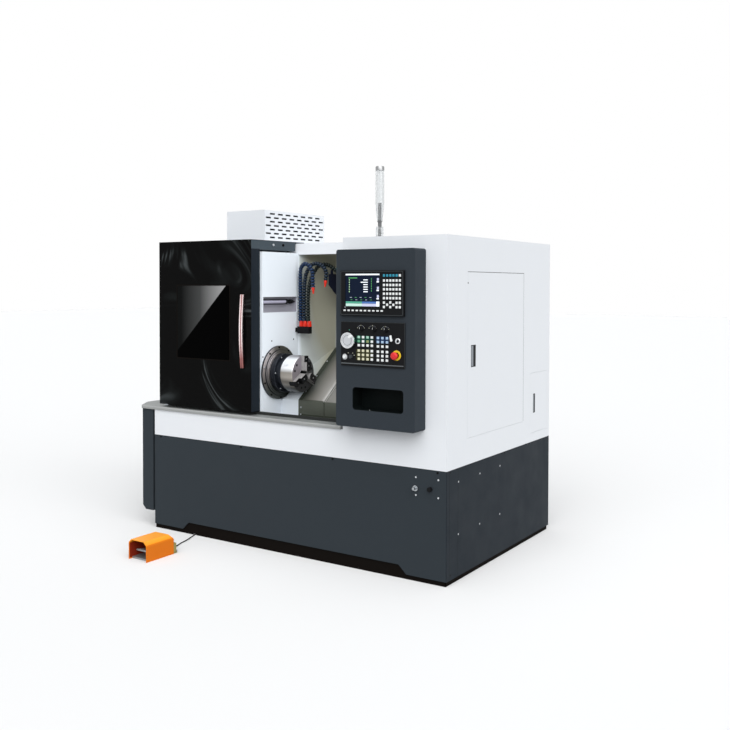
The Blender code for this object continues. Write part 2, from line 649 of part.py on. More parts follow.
def build_cabinet():
    low = SKIRT_H + CLEAR
    shell = cut(block((0, BASE_W), (0, BASE_D), (low, BODY_TOP)),
                block((WALL, BASE_W - WALL), (WALL, BASE_D - WALL), (low - OVER, BODY_TOP - WALL)))
    shell = cut(shell,
                block((-OVER, OPENING_RIGHT), (-OVER, PANEL_Y), (SILL_Z - CLEAR, BODY_TOP + OVER)))
    shell = cut(shell,
                block((WALL, OPENING_RIGHT), (-OVER, HEADER_Y), (SILL_Z - CLEAR, BODY_TOP + OVER)))
    header = block((WALL / 2, OPENING_RIGHT + WALL / 2), (HEADER_Y, HEADER_Y + HEADER_T), (HEADER_Z, BODY_TOP - WALL / 2))
    post = block((OPENING_RIGHT, OPENING_RIGHT + WALL), (WALL / 2, RETURN_D), (SILL_Z - WALL, BODY_TOP - WALL / 2))
    gusset = block((OPENING_RIGHT, OPENING_RIGHT + WALL), (RETURN_D / 2, HEADER_Y + HEADER_T / 2),
                   (HEADER_Z, BODY_TOP - WALL / 2))
    shell = fused(shell, header, post, gusset)
    shell = cut(shell, block((BASE_W - WALL - OVER, BASE_W + OVER), SIDE_Y, SIDE_Z))
    shell = cut(shell, block((BASE_W - WALL - OVER, BASE_W + OVER), REAR_Y, REAR_Z))
    node("cabinet_shell", shell, "white_enamel")

    inner = [(GUARD_X - SHEET, HEADER_Y + SHEET / 5), (GUARD_X - SHEET, PANEL_Y + SHEET),
             (WALL + CLEAR, PANEL_Y + SHEET)]
    outer = [(WALL + CLEAR, PANEL_Y), (GUARD_X, PANEL_Y), (GUARD_X, HEADER_Y), (FACET_X, BACK_Y - CLEAR),
             (FACET_X - SHEET, BACK_Y - CLEAR)]
    guard = prism(outer + inner, "Z", (GUARD_BOTTOM, GUARD_TOP))
    lid = prism([(WALL + CLEAR, PANEL_Y), (GUARD_X, PANEL_Y), (GUARD_X, HEADER_Y - CLEAR),
                 (WALL + CLEAR, HEADER_Y - CLEAR)], "Z", (GUARD_TOP - SHEET, GUARD_TOP))
    guard = fused(guard, lid)
    hole = rod((GUARD_X - SHEET - OVER, AXIS_Y, AXIS_Z), (1, 0, 0), SHEET + 2 * OVER, GUARD_HOLE_R, 32)
    slot = block((GUARD_X - SHEET - OVER, GUARD_X + OVER), grown(LAMP_Y, -LAMP_RIM), grown(LAMP_Z, -LAMP_RIM))
    beam_room = block((WALL, FACET_X + OVER), (HEADER_Y - CLEAR, HEADER_Y + HEADER_T + CLEAR),
                      (HEADER_Z - CLEAR, GUARD_TOP + OVER))
    seat = -BED_DROP + CLEAR
    toe = slope(0, seat)
    bed_room = prism([(toe[0] - CLEAR, GUARD_BOTTOM - OVER), (toe[0] - CLEAR, toe[1]), slope(BED_RUN, seat),
                      (slope(BED_RUN, seat)[0], GUARD_BOTTOM - OVER)], "X", (WALL, FACET_X + OVER))
    guard = cut(guard, hole, slot, beam_room, bed_room)
    apron = prism(cover_line(CLEAR)[:2] + [slope(APRON_RUN, -CLEAR)] + [slope(APRON_RUN, -CLEAR - SHEET)]
                  + cover_line(CLEAR + SHEET)[1::-1], "X", (GUARD_X - SHEET / 2, GUARD_LEFT - CLEAR))
    ring_room = rod((GUARD_X, AXIS_Y, AXIS_Z), (1, 0, 0), RING_STEPS[-1][0] + RUN_GAP, RING_STEPS[0][1] + RUN_GAP, 40)
    guard = fused(guard, cut(apron, ring_room))
    node("headstock_guard", guard, "white_enamel")

    back = block((FACET_X - SHEET, BASE_W - WALL - CLEAR), (BACK_Y, BACK_Y + SHEET),
                 (BACK_BOTTOM, BODY_TOP - WALL - CLEAR))
    node("back_guard", back, "olive_enamel")

    pan = cut(block((WALL + CLEAR, BASE_W - WALL - CLEAR), (WALL + CLEAR, PAN_BACK), PAN_Z),
              block((WALL + SHEET, BASE_W - WALL - SHEET), (WALL + SHEET, PAN_BACK - SHEET),
                    (PAN_Z[0] + SHEET, PAN_Z[1] + OVER)))
    node("chip_pan", pan, "stainless")

    tray = cut(block((GUARD_X - SHEET - LAMP_DEEP, GUARD_X - SHEET - CLEAR), LAMP_Y, LAMP_Z),
               block((GUARD_X - SHEET - LAMP_DEEP + LAMP_TRAY_T, GUARD_X), grown(LAMP_Y, -LAMP_TRAY_T),
                     grown(LAMP_Z, -LAMP_TRAY_T)))
    node("lamp_tray", tray, "white_enamel")
    tube_x = GUARD_X - SHEET - LAMP_DEEP / 2
    start = LAMP_Y[0] + LAMP_TRAY_T + CLEAR
    node("lamp_tube", rod((tube_x, start, TUBE_Z), (0, 1, 0), TUBE_END - start, TUBE_R, 16), "clear_plastic")
    stop = LAMP_Y[1] - LAMP_TRAY_T - CLEAR
    gland = turned([(0, 0), (0, GLAND_R), (GLAND_END - TUBE_END, GLAND_R), (GLAND_END - TUBE_END, GLAND_STEM_R),
                    (stop - TUBE_END - CLEAR, GLAND_STEM_R), (stop - TUBE_END - CLEAR, 0)],
                   (tube_x, TUBE_END + CLEAR, TUBE_Z), (0, 1, 0), 12)
    node("lamp_gland", gland, "black_plastic")


def build_bed():
    foot = FRAME_TOP + CLEAR
    top = slope(BED_RUN, -BED_DROP)
    outline = [slope(0, -BED_DROP), top, (BED_HEEL_Y, top[1]), (BED_HEEL_Y, foot), (BED_TOE_Y, foot),
               (BED_TOE_Y, BED_SHOULDER_Z), (slope(0, -BED_DROP)[0], BED_FRONT_Z)]
    bed = prism(outline, "X", (BED_LEFT, BED_RIGHT))
    core = block((BED_LEFT - OVER, BED_RIGHT + OVER), BED_CORE_Y, BED_CORE_Z)
    rails = [prism([slope(s, -BED_DROP - RAIL_H), slope(s + RAIL_W, -BED_DROP - RAIL_H),
                    slope(s + RAIL_W, -BED_DROP + RAIL_H), slope(s, -BED_DROP + RAIL_H)],
                   "X", (RAIL_LEFT, RAIL_RIGHT)) for s in RAIL_S]
    node("slant_bed", fused(cut(bed, core), *rails), "cast_enamel")

    seat = -BED_DROP + CLEAR
    under = cover_line(COVER_T)
    under = [under[0], under[1], under[2], slope(COVER_RUN, seat), slope(0, seat),
             (slope(0, seat)[0] - CLEAR, LIP_BOTTOM)]
    end = prism(under, "X", (GUARD_LEFT, GUARD_LEFT + COVER_T))
    guard = fused(cover_sheet(0, (GUARD_LEFT, GUARD_RIGHT)), end)
    node("way_guard", guard, "stainless")
    pitch = COVER_T + CLEAR
    node("mid_cover", cover_sheet(pitch, MID_COVER_X), "stainless", (MID_COVER_X[0], *slope(0, 0)))

    top = -2 * pitch
    low = -BED_DROP + SADDLE_FOOT_GAP
    ride = -BED_DROP + RAIL_H + CLEAR
    outline = [(SADDLE_S[0], low)]
    for s in RAIL_S:
        outline += [(s - CLEAR, low), (s - CLEAR, ride), (s + RAIL_W + CLEAR, ride), (s + RAIL_W + CLEAR, low),
                    (s + RAIL_W + SADDLE_LEG, low)]
        if s == RAIL_S[0]:
            outline += [(s + RAIL_W + SADDLE_LEG, low + SADDLE_BELLY),
                        (RAIL_S[1] - SADDLE_LEG, low + SADDLE_BELLY), (RAIL_S[1] - SADDLE_LEG, low)]
    outline += [(SADDLE_S[1], top), (SADDLE_S[0], top)]
    saddle = prism([slope(*p) for p in outline], "X", SADDLE_X)
    saddle = fused(saddle, cover_sheet(2 * pitch, (SADDLE_COVER_LEFT, SADDLE_X[1])))
    node("saddle", saddle, "ground_steel", (SADDLE_X[0], *slope(0, 0)))

    base = top + CLEAR
    outline = [(SLIDE_S[0], base), (SLIDE_S[1], base), (SLIDE_S[1], SLIDE_T), (SLIDE_S[0], SLIDE_T)]
    slide = prism([slope(*p) for p in outline], "X", SLIDE_X)
    outline = [(HEAD_S[0], SLIDE_T / 2), (SLIDE_S[1], SLIDE_T / 2), (HEAD_S[1], SLIDE_T + HEAD_CHAMFER),
               (HEAD_S[1], HEAD_TOP - HEAD_CHAMFER), (HEAD_S[1] - HEAD_CHAMFER, HEAD_TOP),
               (HEAD_S[0] + HEAD_CHAMFER, HEAD_TOP), (HEAD_S[0], HEAD_TOP - HEAD_CHAMFER)]
    slide = fused(slide, prism([slope(*p) for p in outline], "X", SLIDE_X))
    node("cross_slide", slide, "cast_enamel", (SLIDE_X[0], *slope(SLIDE_S[0], 0)))

    y, z = turret_axis()
    disc = turned([(0, 0), (0, DISC_HUB_R), (CLEAR, DISC_HUB_R), (CLEAR, DISC_R), (DISC_T, DISC_R), (DISC_T, 0)],
                  (SLIDE_X[0] - CLEAR, y, z), (-1, 0, 0), STATIONS)
    pockets = []
    for k in range(STATIONS):
        pocket = block((SLIDE_X[0] - DISC_T - OVER, SLIDE_X[0] - DISC_T / 2), (-POCKET_W / 2, POCKET_W / 2),
                       (DISC_R * cos(pi / STATIONS) - POCKET_DEEP, DISC_R + OVER))
        pocket.data.transform(Matrix.Translation((0, y, z)) @ Matrix.Rotation(2 * pi * (k + 1 / 2) / STATIONS, 4, "X"))
        pockets.append(pocket)
    node("turret_disc", cut(disc, bundled(pockets)), "ground_steel", (SLIDE_X[0], y, z))


def turret_axis():
    """(y, z) of the turret's axis: level with the spindle above the slope, DISC_REACH further up it."""
    return (AXIS_Y + DISC_REACH * cos(SLOPE), AXIS_Z + DISC_REACH * sin(SLOPE))


def build_spindle():
    seat = -BED_DROP + CLEAR
    front, rear = slope(0, seat), slope(HEADSTOCK_RUN, seat)
    outline = [(HEADSTOCK_FRONT, HEADSTOCK_KNEE), (HEADSTOCK_TOE, front[1]), front, rear,
               (rear[0], HEADSTOCK_BACK_Z), (rear[0] - HEADSTOCK_CHAMFER, HEADSTOCK_TOP),
               (HEADSTOCK_FRONT, HEADSTOCK_TOP)]
    casting = prism(outline, "X", HEADSTOCK_X)
    length = HEADSTOCK_X[1] - HEADSTOCK_X[0] + 2 * OVER
    bore = rod((HEADSTOCK_X[0] - OVER, AXIS_Y, AXIS_Z), (1, 0, 0), length, SPINDLE_R + BORE_FIT, 32)
    node("headstock", cut(casting, bore), "cast_enamel")

    base = GUARD_X + CLEAR
    bore = SPINDLE_R + RUN_GAP
    profile = [(0, bore), (0, RING_STEPS[0][1])]
    for k, (reach, radius) in enumerate(RING_STEPS):
        profile.append((reach, radius))
        if k + 1 < len(RING_STEPS):
            profile.append((reach, RING_STEPS[k + 1][1]))
    profile.append((RING_STEPS[-1][0], bore))
    node("bearing_cap", turned(profile, (base, AXIS_Y, AXIS_Z), (1, 0, 0), 40), "ground_steel")

    start = SPINDLE_REAR
    profile = [(x - start, r) for x, r in (
        (start, SPINDLE_BORE_R), (start, SPINDLE_TAIL_R), (PULLEY_X[0], SPINDLE_TAIL_R), (PULLEY_X[0], PULLEY_R),
        (PULLEY_X[1], PULLEY_R), (PULLEY_X[1], SPINDLE_R), (ADAPTER_X[0], SPINDLE_R), (ADAPTER_X[0], ADAPTER_R),
        (ADAPTER_X[1], ADAPTER_R), (ADAPTER_X[1], NECK_R), (NOSE_X - NOSE_T, NECK_R), (NOSE_X - NOSE_T, NOSE_R),
        (NOSE_X, NOSE_R), (NOSE_X, SPINDLE_BORE_R))]
    spindle = turned(profile, (start, AXIS_Y, AXIS_Z), (1, 0, 0), 32)
    node("spindle", spindle, "dark_steel", (GUARD_X, AXIS_Y, AXIS_Z))

    deep = CHUCK_X[1] - CHUCK_X[0]
    profile = [(0, SPINDLE_BORE_R), (0, CHUCK_BACK_R), (CHUCK_BACK_T, CHUCK_BACK_R), (CHUCK_BACK_T, CHUCK_R),
               (deep - CHUCK_EDGE, CHUCK_R), (deep, CHUCK_R - CHUCK_EDGE), (deep, SPINDLE_BORE_R)]
    chuck = turned(profile, (CHUCK_X[0], AXIS_Y, AXIS_Z), (1, 0, 0), 40)
    centre = Matrix.Translation((0, AXIS_Y, AXIS_Z))
    for k in range(JAWS):
        slot = block((CHUCK_X[1] - JAW_SLOT_DEEP, CHUCK_X[1] + OVER), (-JAW_SLOT_W / 2, JAW_SLOT_W / 2),
                     (SPINDLE_BORE_R / 2, CHUCK_R + OVER))
        slot.data.transform(centre @ Matrix.Rotation(jaw_turn(k), 4, "X"))
        chuck = cut(chuck, slot)
    node("chuck", chuck, "ground_steel", (GUARD_X, AXIS_Y, AXIS_Z))

    face = CHUCK_X[1]
    half = JAW_SLOT_W / 2 - CLEAR
    cheek, nib = JAW_TOP_W / 2, JAW_NIB_W / 2
    for k in range(JAWS):
        jaw = block((face - JAW_SLOT_DEEP + CLEAR, face + JAW_LOW / 2), (-half, half), (JAW_IN, JAW_OUT))
        for span, reach in (((face + CLEAR, face + JAW_LOW), JAW_TIP_R), ((face + CLEAR, face + JAW_HIGH), JAW_STEP_R)):
            plan = [(-cheek, reach), (-cheek, JAW_CHEEK_R), (-nib, JAW_NIB_R), (nib, JAW_NIB_R), (cheek, JAW_CHEEK_R),
                    (cheek, reach)]
            jaw = fused(jaw, prism(plan, "X", span))
        turn = Matrix.Rotation(jaw_turn(k), 4, "X")
        jaw.data.transform(centre @ turn)
        pivot = centre @ turn @ Vector((face, 0, JAW_OUT))
        node(f"jaw_{k + 1}", jaw, "dark_steel", tuple(pivot))


def jaw_turn(k):
    """Turn about +X that carries a jaw from straight up to its place."""
    return radians(JAW_FIRST_DEG - 90) + 2 * pi * k / JAWS


def build_coolant():
    body = block(MANIFOLD_X, MANIFOLD_Y, MANIFOLD_Z)
    foot = block((GUARD_X + CLEAR, MANIFOLD_X[0] + OVER), grown(MANIFOLD_Y, -MANIFOLD_FOOT_INSET),
                 grown(MANIFOLD_Z, -MANIFOLD_FOOT_INSET))
    rise_y = sum(MANIFOLD_Y) / 2
    body = fused(body, foot)
    nuts = [turned([(0, 0), (0, NUT_R), (NUT_H + OVER, NUT_R), (NUT_H + OVER, 0)],
                   (x, rise_y, MANIFOLD_Z[1] - OVER), (0, 0, 1), NUT_SIDES) for x in NUT_X]
    node("coolant_manifold", fused(body, *nuts), "black_plastic")
    start_z = MANIFOLD_Z[1] + NUT_H + CLEAR
    for k, shares in enumerate(HOSE_BEND_SHARES):
        start = Vector((NUT_X[k], rise_y, start_z))
        hose, end, ahead = ball_chain([start, *(start + Vector(bend) * HOSE_SPAN for bend in shares)])
        node(f"coolant_hose_{k + 1}", hose, "navy_plastic")
        if k == NOZZLES:
            break
        tip = turned([(CLEAR, 0), (CLEAR, NOZZLE_R), (NOZZLE_H / 2, NOZZLE_R), (NOZZLE_H, NOZZLE_TIP_R), (NOZZLE_H, 0)],
                     end, ahead, 10)
        node(f"coolant_nozzle_{k + 1}", tip, "orange_plastic")


def build_roof():
    low = BODY_TOP + CLEAR
    box = cut(block(LOUVRE_X, LOUVRE_Y, (low, LOUVRE_TOP)),
              block(grown(LOUVRE_X, -SHEET), grown(LOUVRE_Y, -SHEET), (low - OVER, LOUVRE_TOP - SHEET)))
    slots = []
    for row in range(LOUVRE_ROWS):
        count = LOUVRE_COUNTS[row % 2]
        z = LOUVRE_TOP - LOUVRE_DROP - row * LOUVRE_ROW_PITCH
        for k in range(count):
            y = LOUVRE_Y[0] + LOUVRE_DEEP * (LOUVRE_FIRST_SHARE + (k - (row % 2) / 2) * LOUVRE_PITCH_SHARE)
            wide = (y, y + LOUVRE_DEEP * LOUVRE_SLOT_SHARE)
            slots.append(block((LOUVRE_X[1] - SHEET - OVER, LOUVRE_X[1] + OVER), wide, (z - LOUVRE_H, z)))
    node("louvre_box", cut(box, bundled(slots)), "white_enamel")

    z = BODY_TOP + CLEAR
    (ring_z, ring_r), (neck_z, neck_r), (cup_z, cup_low_r) = ((BODY_TOP + rise, r) for rise, r in BEACON_STEPS)
    base = turned([(0, 0), (0, ring_r), (ring_z - z, ring_r), (ring_z - z, neck_r), (neck_z - z, neck_r),
                   (neck_z - z, cup_low_r), (cup_z - z, BEACON_CUP_R), (cup_z - z, 0)],
                  (BEACON_X, BEACON_Y, z), (0, 0, 1), 20)
    node("beacon_base", base, "stainless")
    side = BEACON_LENS_H - BEACON_CROWN
    lens = turned([(0, 0), (0, BEACON_CUP_R), (side, BEACON_CUP_R), (BEACON_LENS_H, BEACON_CUP_R - BEACON_CROWN),
                   (BEACON_LENS_H, 0)], (BEACON_X, BEACON_Y, cup_z + CLEAR), (0, 0, 1), 20)
    node("beacon_lens", lens, "clear_plastic")


def build_door():
    x = (DOOR_LEFT, DOOR_RIGHT)
    skin = block(x, (0, SHEET), (DOOR_BOTTOM, DOOR_TOP))
    skin = cut(skin, block((PANE_LEFT, PANE_RIGHT), (-OVER, SHEET + OVER), (PANE_BOTTOM, PANE_TOP)))
    left = (DOOR_LEFT, DOOR_LEFT + SHEET)
    right = (DOOR_RIGHT - SHEET, DOOR_RIGHT)
    tall = (DOOR_BOTTOM, DOOR_HOOD_Z + SHEET)
    hood = (DOOR_HOOD_Z, DOOR_TOP)
    deep = (0, DOOR_FLANGE)
    skin = fused(skin, block(left, deep, tall), block(right, deep, tall), block(x, deep, (DOOR_BOTTOM, DOOR_BOTTOM + SHEET)),
                 block(left, (0, DOOR_HOOD_D), hood), block(right, (0, DOOR_HOOD_D), hood),
                 block(x, (0, DOOR_LIP_D), (DOOR_TOP - SHEET, DOOR_TOP)))
    pivot = (DOOR_LEFT, 0, DOOR_BOTTOM)
    node("front_door", skin, "black_gloss", pivot)
    pane = block((PANE_LEFT + CLEAR, PANE_RIGHT - CLEAR), (CLEAR, SHEET), (PANE_BOTTOM + CLEAR, PANE_TOP - CLEAR))
    node("door_pane", pane, "glass", pivot)

    rise = PULL_TOP - PULL_BOTTOM
    outer, inner = [], []
    for i in range(PULL_STEPS + 1):
        share = i / PULL_STEPS
        bow = PULL_BOW * sin(pi * share)
        outer.append((-CLEAR - PULL_T - bow, PULL_BOTTOM + rise * share))
        if 0 < i < PULL_STEPS:
            inner.append((-CLEAR - bow, PULL_BOTTOM + rise * share))
        else:
            inner.append((-CLEAR, PULL_BOTTOM + rise * share))
    pull = prism(outer + inner[::-1], "X", (PULL_X - PULL_W / 2, PULL_X + PULL_W / 2))
    node("door_pull", pull, "copper_anodised", pivot)


def leaf(name, y, z, pull_y, pull_z):
    """A flush hinged leaf in the right side, with a recess that holds its flush pull."""
    x = (BASE_W - WALL, BASE_W)
    panel = block(x, grown(y, -LEAF_GAP), grown(z, -LEAF_GAP))
    panel = cut(panel, block((BASE_W - PULL_DEEP, BASE_W + OVER), pull_y, pull_z))
    pivot = (BASE_W, y[1] - LEAF_GAP, z[0])
    node(name, panel, "white_enamel", pivot)
    pull = block((BASE_W - PULL_DEEP + CLEAR, BASE_W - CLEAR), grown(pull_y, -CLEAR), grown(pull_z, -CLEAR))
    node(f"{name}_pull", pull, "black_plastic", pivot)


def facing(profile, at, base_y, sides=20):
    """A turned control that points at the operator: profile distances run out from base_y."""
    return turned(profile, (at[0], base_y, at[1]), (0, -1, 0), sides)


def build_controls():
    back = -CLEAR
    front = back - BOX_D
    box = softened(block(BOX_X, (front, back), BOX_Z), BOX_EDGE)
    hollow = block(grown(BOX_X, -BOX_SKIN), (front + BOX_SKIN, back + OVER), (BOX_FLOOR_Z, BOX_Z[1] - BOX_SKIN))
    pocket = prism(rounded(BOX_POCKET_X, BOX_POCKET_Z, BOX_POCKET_R), "Y", (front - OVER, front + BOX_POCKET_D))
    node("control_box", cut(box, hollow, pocket), "slate_enamel")

    base = front - CLEAR
    unit = softened(block(DISPLAY_X, (base - DISPLAY_T, base), DISPLAY_Z), DISPLAY_EDGE)
    unit = cut(unit, block(SCREEN_X, (base - DISPLAY_T - OVER, base - DISPLAY_T + SCREEN_DEEP), SCREEN_Z))
    node("display_unit", unit, "black_plastic")
    screen_back = base - DISPLAY_T + SCREEN_DEEP - CLEAR
    screen = block(grown(SCREEN_X, -CLEAR), (screen_back - SCREEN_T, screen_back), grown(SCREEN_Z, -CLEAR))
    node("display_screen", screen, "glass")

    face = base - PANEL_T
    panel = block(PANEL_X, (face, base), PANEL_Z)
    bores = [(WHEEL_AT, WHEEL_SHAFT_R), (LEVER_AT, LEVER_R / 2)]
    bores += [(at, KNOB_STEM_R) for at in (KNOB_1_AT, KNOB_2_AT, KNOB_3_AT)] + [(at, BUTTON_R) for at in (START_AT, HOLD_AT)]
    holes = [facing([(0, 0), (0, radius + CLEAR), (STEM_DEEP + OVER, radius + CLEAR), (STEM_DEEP + OVER, 0)],
                    at, face + STEM_DEEP, 16) for at, radius in bores]
    key_hole = facing([(0, 0), (0, KEY_R / 2 + CLEAR), (STEM_DEEP + OVER, KEY_R / 2 + CLEAR), (STEM_DEEP + OVER, 0)],
                      KEY_AT, face + STEM_DEEP, 16)
    stop_hole = facing([(0, 0), (0, STOP_NECK_R + CLEAR), (PANEL_T + 2 * OVER, STOP_NECK_R + CLEAR),
                        (PANEL_T + 2 * OVER, 0)], STOP_AT, base + OVER, 20)
    node("operator_panel", cut(panel, bundled([*holes, key_hole, stop_hole])), "black_plastic")

    root = face + STEM_DEEP - CLEAR
    stem = root - face
    lift = stem + WHEEL_LIFT
    wheel = facing([(0, 0), (0, WHEEL_SHAFT_R), (lift, WHEEL_SHAFT_R), (lift, WHEEL_R), (lift + WHEEL_T, WHEEL_R),
                    (lift + WHEEL_T, 0)], WHEEL_AT, root, 28)
    grip_at = (WHEEL_AT[0], WHEEL_AT[1] + WHEEL_R * WHEEL_GRIP_SHARE)
    grip = facing([(0, 0), (0, WHEEL_GRIP_R), (WHEEL_GRIP_H + WHEEL_T / 2, WHEEL_GRIP_R), (WHEEL_GRIP_H + WHEEL_T / 2, 0)],
                  grip_at, root - lift - WHEEL_T / 2, 12)
    node("handwheel", fused(wheel, grip), "chrome", (WHEEL_AT[0], face, WHEEL_AT[1]))

    for k, at in enumerate((KNOB_1_AT, KNOB_2_AT, KNOB_3_AT)):
        low = stem + CLEAR
        knob = facing([(0, 0), (0, KNOB_STEM_R), (low, KNOB_STEM_R), (low, KNOB_R), (low + KNOB_H / 2, KNOB_R),
                       (low + KNOB_H / 2, 0)], at, root, 16)
        bar = block((at[0] - KNOB_GRIP_T / 2, at[0] + KNOB_GRIP_T / 2), (root - low - KNOB_H, root - low - KNOB_H / 4),
                    (at[1] - KNOB_R * cos(pi / 6), at[1] + KNOB_R * cos(pi / 6)))
        node(f"override_knob_{k + 1}", fused(knob, bar), "black_plastic", (at[0], face, at[1]))

    low = stem + CLEAR
    lever = facing([(0, 0), (0, LEVER_R / 2), (low, LEVER_R / 2), (low, LEVER_R), (low + LEVER_R, LEVER_R), (low + LEVER_R, 0)],
                   LEVER_AT, root, 14)
    arm = block((LEVER_AT[0] - LEVER_R / 2, LEVER_AT[0] + LEVER_R / 2), (root - low - 2 * LEVER_R, root - low - LEVER_R / 2),
                (LEVER_AT[1] - LEVER_R / 2, LEVER_AT[1] + LEVER_L - LEVER_R))
    node("lever_switch", fused(lever, arm), "white_plastic", (LEVER_AT[0], face, LEVER_AT[1]))

    key = facing([(0, 0), (0, KEY_R / 2), (low, KEY_R / 2), (low, KEY_R), (low + KEY_H, KEY_R), (low + KEY_H, 0)],
                 KEY_AT, root, 16)
    bow = block((KEY_AT[0] - KEY_BOW_T / 2, KEY_AT[0] + KEY_BOW_T / 2), (root - low - KEY_H - KEY_BOW_H, root - low - KEY_H / 2),
                (KEY_AT[1] - KEY_BOW_W / 2, KEY_AT[1] + KEY_BOW_W / 2))
    node("key_switch", fused(key, bow), "chrome", (KEY_AT[0], face, KEY_AT[1]))

    for name, at, finish in (("cycle_start", START_AT, "white_plastic"), ("feed_hold", HOLD_AT, "black_plastic")):
        reach = stem + BUTTON_H
        button = facing([(BUTTON_H / 4, 0), (BUTTON_H / 4, BUTTON_R), (reach, BUTTON_R), (reach, 0)], at, root, 16)
        node(name, button, finish, (at[0], face, at[1]))

    lift = stem + STOP_LIFT
    tall = stem + STOP_H
    stop = facing([(stem - STOP_DIP, 0), (stem - STOP_DIP, STOP_NECK_R), (lift, STOP_NECK_R), (lift, STOP_R * cos(pi / 6)),
                   (lift + STOP_LIFT / 2, STOP_R), (tall - STOP_LIFT / 2, STOP_R), (tall, STOP_R * cos(pi / 6)), (tall, 0)],
                  STOP_AT, root, 20)
    node("emergency_stop", stop, "red_plastic", (STOP_AT[0], face, STOP_AT[1]))


def build_fittings():
    fitting = facing([(0, 0), (0, FITTING_R), (FITTING_L / 3, FITTING_R), (FITTING_L / 3, FITTING_R / 2),
                      (FITTING_L, FITTING_R / 2), (FITTING_L, 0)], FITTING_AT, -CLEAR, 12)
    node("air_inlet", fitting, "chrome")
    port = facing([(0, 0), (0, PORT_R), (PORT_L, PORT_R), (PORT_L, 0)], PORT_AT, -CLEAR, 12)
    node("air_port", port, "black_plastic")


def build_pedal():
    ground = PEDAL_FLOOR
    top = ground + PEDAL_H
    y0, y1 = PEDAL_Y

    def arch(inset):
        """The hood's section seen from the front, its two upper corners cut off."""
        x0, x1 = PEDAL_X[0] + inset, PEDAL_X[1] - inset
        high, corner = top - inset, PEDAL_CORNER
        low = ground if inset == 0 else ground - OVER
        return [(x0, low), (x1, low), (x1, high - corner), (x1 - corner, high), (x0 + corner, high), (x0, high - corner)]

    hood = prism(arch(0), "Y", (y0, y1))
    hood = cut(hood, prism(arch(PEDAL_SKIN), "Y", (y0 - OVER, y1 - PEDAL_SKIN)))
    nape = prism([(y1 - PEDAL_NAPE, top + OVER), (y1 + OVER, top + OVER), (y1 + OVER, top - PEDAL_NAPE - OVER)], "X",
                 grown(PEDAL_X, OVER))
    back_door = block((PEDAL_X[0] + PEDAL_PLATE_INSET - CLEAR, PEDAL_X[1] - PEDAL_PLATE_INSET + CLEAR),
                      (y1 - PEDAL_SKIN - OVER, y1 + OVER), (ground - OVER, ground + PEDAL_BLOCK_H + CLEAR))
    node("pedal_guard", cut(hood, nape, back_door), "orange_enamel")

    x = (PEDAL_X[0] + PEDAL_SKIN + CLEAR, PEDAL_X[1] - PEDAL_SKIN - CLEAR)
    slim = (PEDAL_X[0] + PEDAL_PLATE_INSET, PEDAL_X[1] - PEDAL_PLATE_INSET)
    plate = block(x, (PEDAL_PLATE_FRONT, y1 - PEDAL_SKIN - CLEAR), (ground, ground + PEDAL_PLATE_T))
    tail = block(slim, (y1 - PEDAL_SKIN - OVER, PEDAL_PLATE_BACK), (ground, ground + PEDAL_PLATE_T))
    body = block(slim, PEDAL_BLOCK_Y, (ground + PEDAL_PLATE_T / 2, ground + PEDAL_BLOCK_H))
    hinge_y, hinge_z = TREAD_HINGE[0], ground + TREAD_HINGE[1]
    wide = (PEDAL_X[0] + TREAD_INSET, PEDAL_X[1] - TREAD_INSET)
    saddle = block(wide, (hinge_y - TREAD_HINGE_R / 2, hinge_y + TREAD_HINGE_R),
                   (ground + PEDAL_PLATE_T / 2, hinge_z - TREAD_HINGE_R - CLEAR))
    node("pedal_base", fused(plate, tail, body, saddle), "ground_steel")

    outline = [(TREAD_FRONT, hinge_z + TREAD_RISE), (TREAD_FRONT, hinge_z + TREAD_RISE + TREAD_T),
               (hinge_y, hinge_z + TREAD_HINGE_R), (hinge_y + TREAD_HINGE_R, hinge_z), (hinge_y, hinge_z - TREAD_HINGE_R)]
    node("pedal_treadle", prism(outline, "X", wide), "ground_steel", ((wide[0] + wide[1]) / 2, hinge_y, hinge_z))

    x = sum(PEDAL_X) / 2
    z = ground + CORD_EXIT_Z
    gland = turned([(CLEAR, 0), (CLEAR, CORD_GLAND_R), (CORD_GLAND_L / 2, CORD_GLAND_R), (CORD_GLAND_L, CORD_GLAND_R / 2),
                    (CORD_GLAND_L, 0)], (x, PEDAL_BLOCK_Y[1], z), (0, 1, 0), 12)
    node("pedal_gland", gland, "black_rubber")

    curve = bpy.data.curves.new("pedal_cord", "CURVE")
    curve.dimensions = "3D"
    curve.bevel_depth = CORD_R
    curve.bevel_resolution = 2
    curve.use_fill_caps = True
    start = (x, PEDAL_BLOCK_Y[1] + CORD_GLAND_L + CLEAR, z)
    bends = [start, *((px, py, ground + pz) for px, py, pz in CORD_BENDS), (*CORD_END, FRAME_BOTTOM - CLEAR)]
    path = smooth_path(bends, CORD_STEP)
    spline = curve.splines.new("POLY")
    spline.points.add(len(path) - 1)
    for point, place in zip(spline.points, path):
        point.co = (*place, 1)
    cord = bpy.data.objects.new("pedal_cord", curve)
    bpy.context.scene.collection.objects.link(cord)
    curve.materials.append(bpy.data.materials["black_rubber"])


def place_on_floor():
    """Moves everything so that the origin is on the floor, under the middle of the bounding box."""
    middle = Vector(((SILL_TIP + BASE_W) / 2, (PEDAL_Y[0] + BASE_D) / 2, PEDAL_FLOOR))
    for item in bpy.context.scene.collection.objects:
        item.location = item.location - middle


for old in list(bpy.data.objects):
    bpy.data.objects.remove(old)
build_base()
build_cabinet()
build_bed()
build_spindle()
build_coolant()
build_roof()
build_door()
leaf("side_door", SIDE_Y, SIDE_Z, SIDE_PULL_Y, SIDE_PULL_Z)
leaf("rear_hatch", REAR_Y, REAR_Z, REAR_PULL_Y, REAR_PULL_Z)
build_controls()
build_fittings()
build_pedal()
place_on_floor()
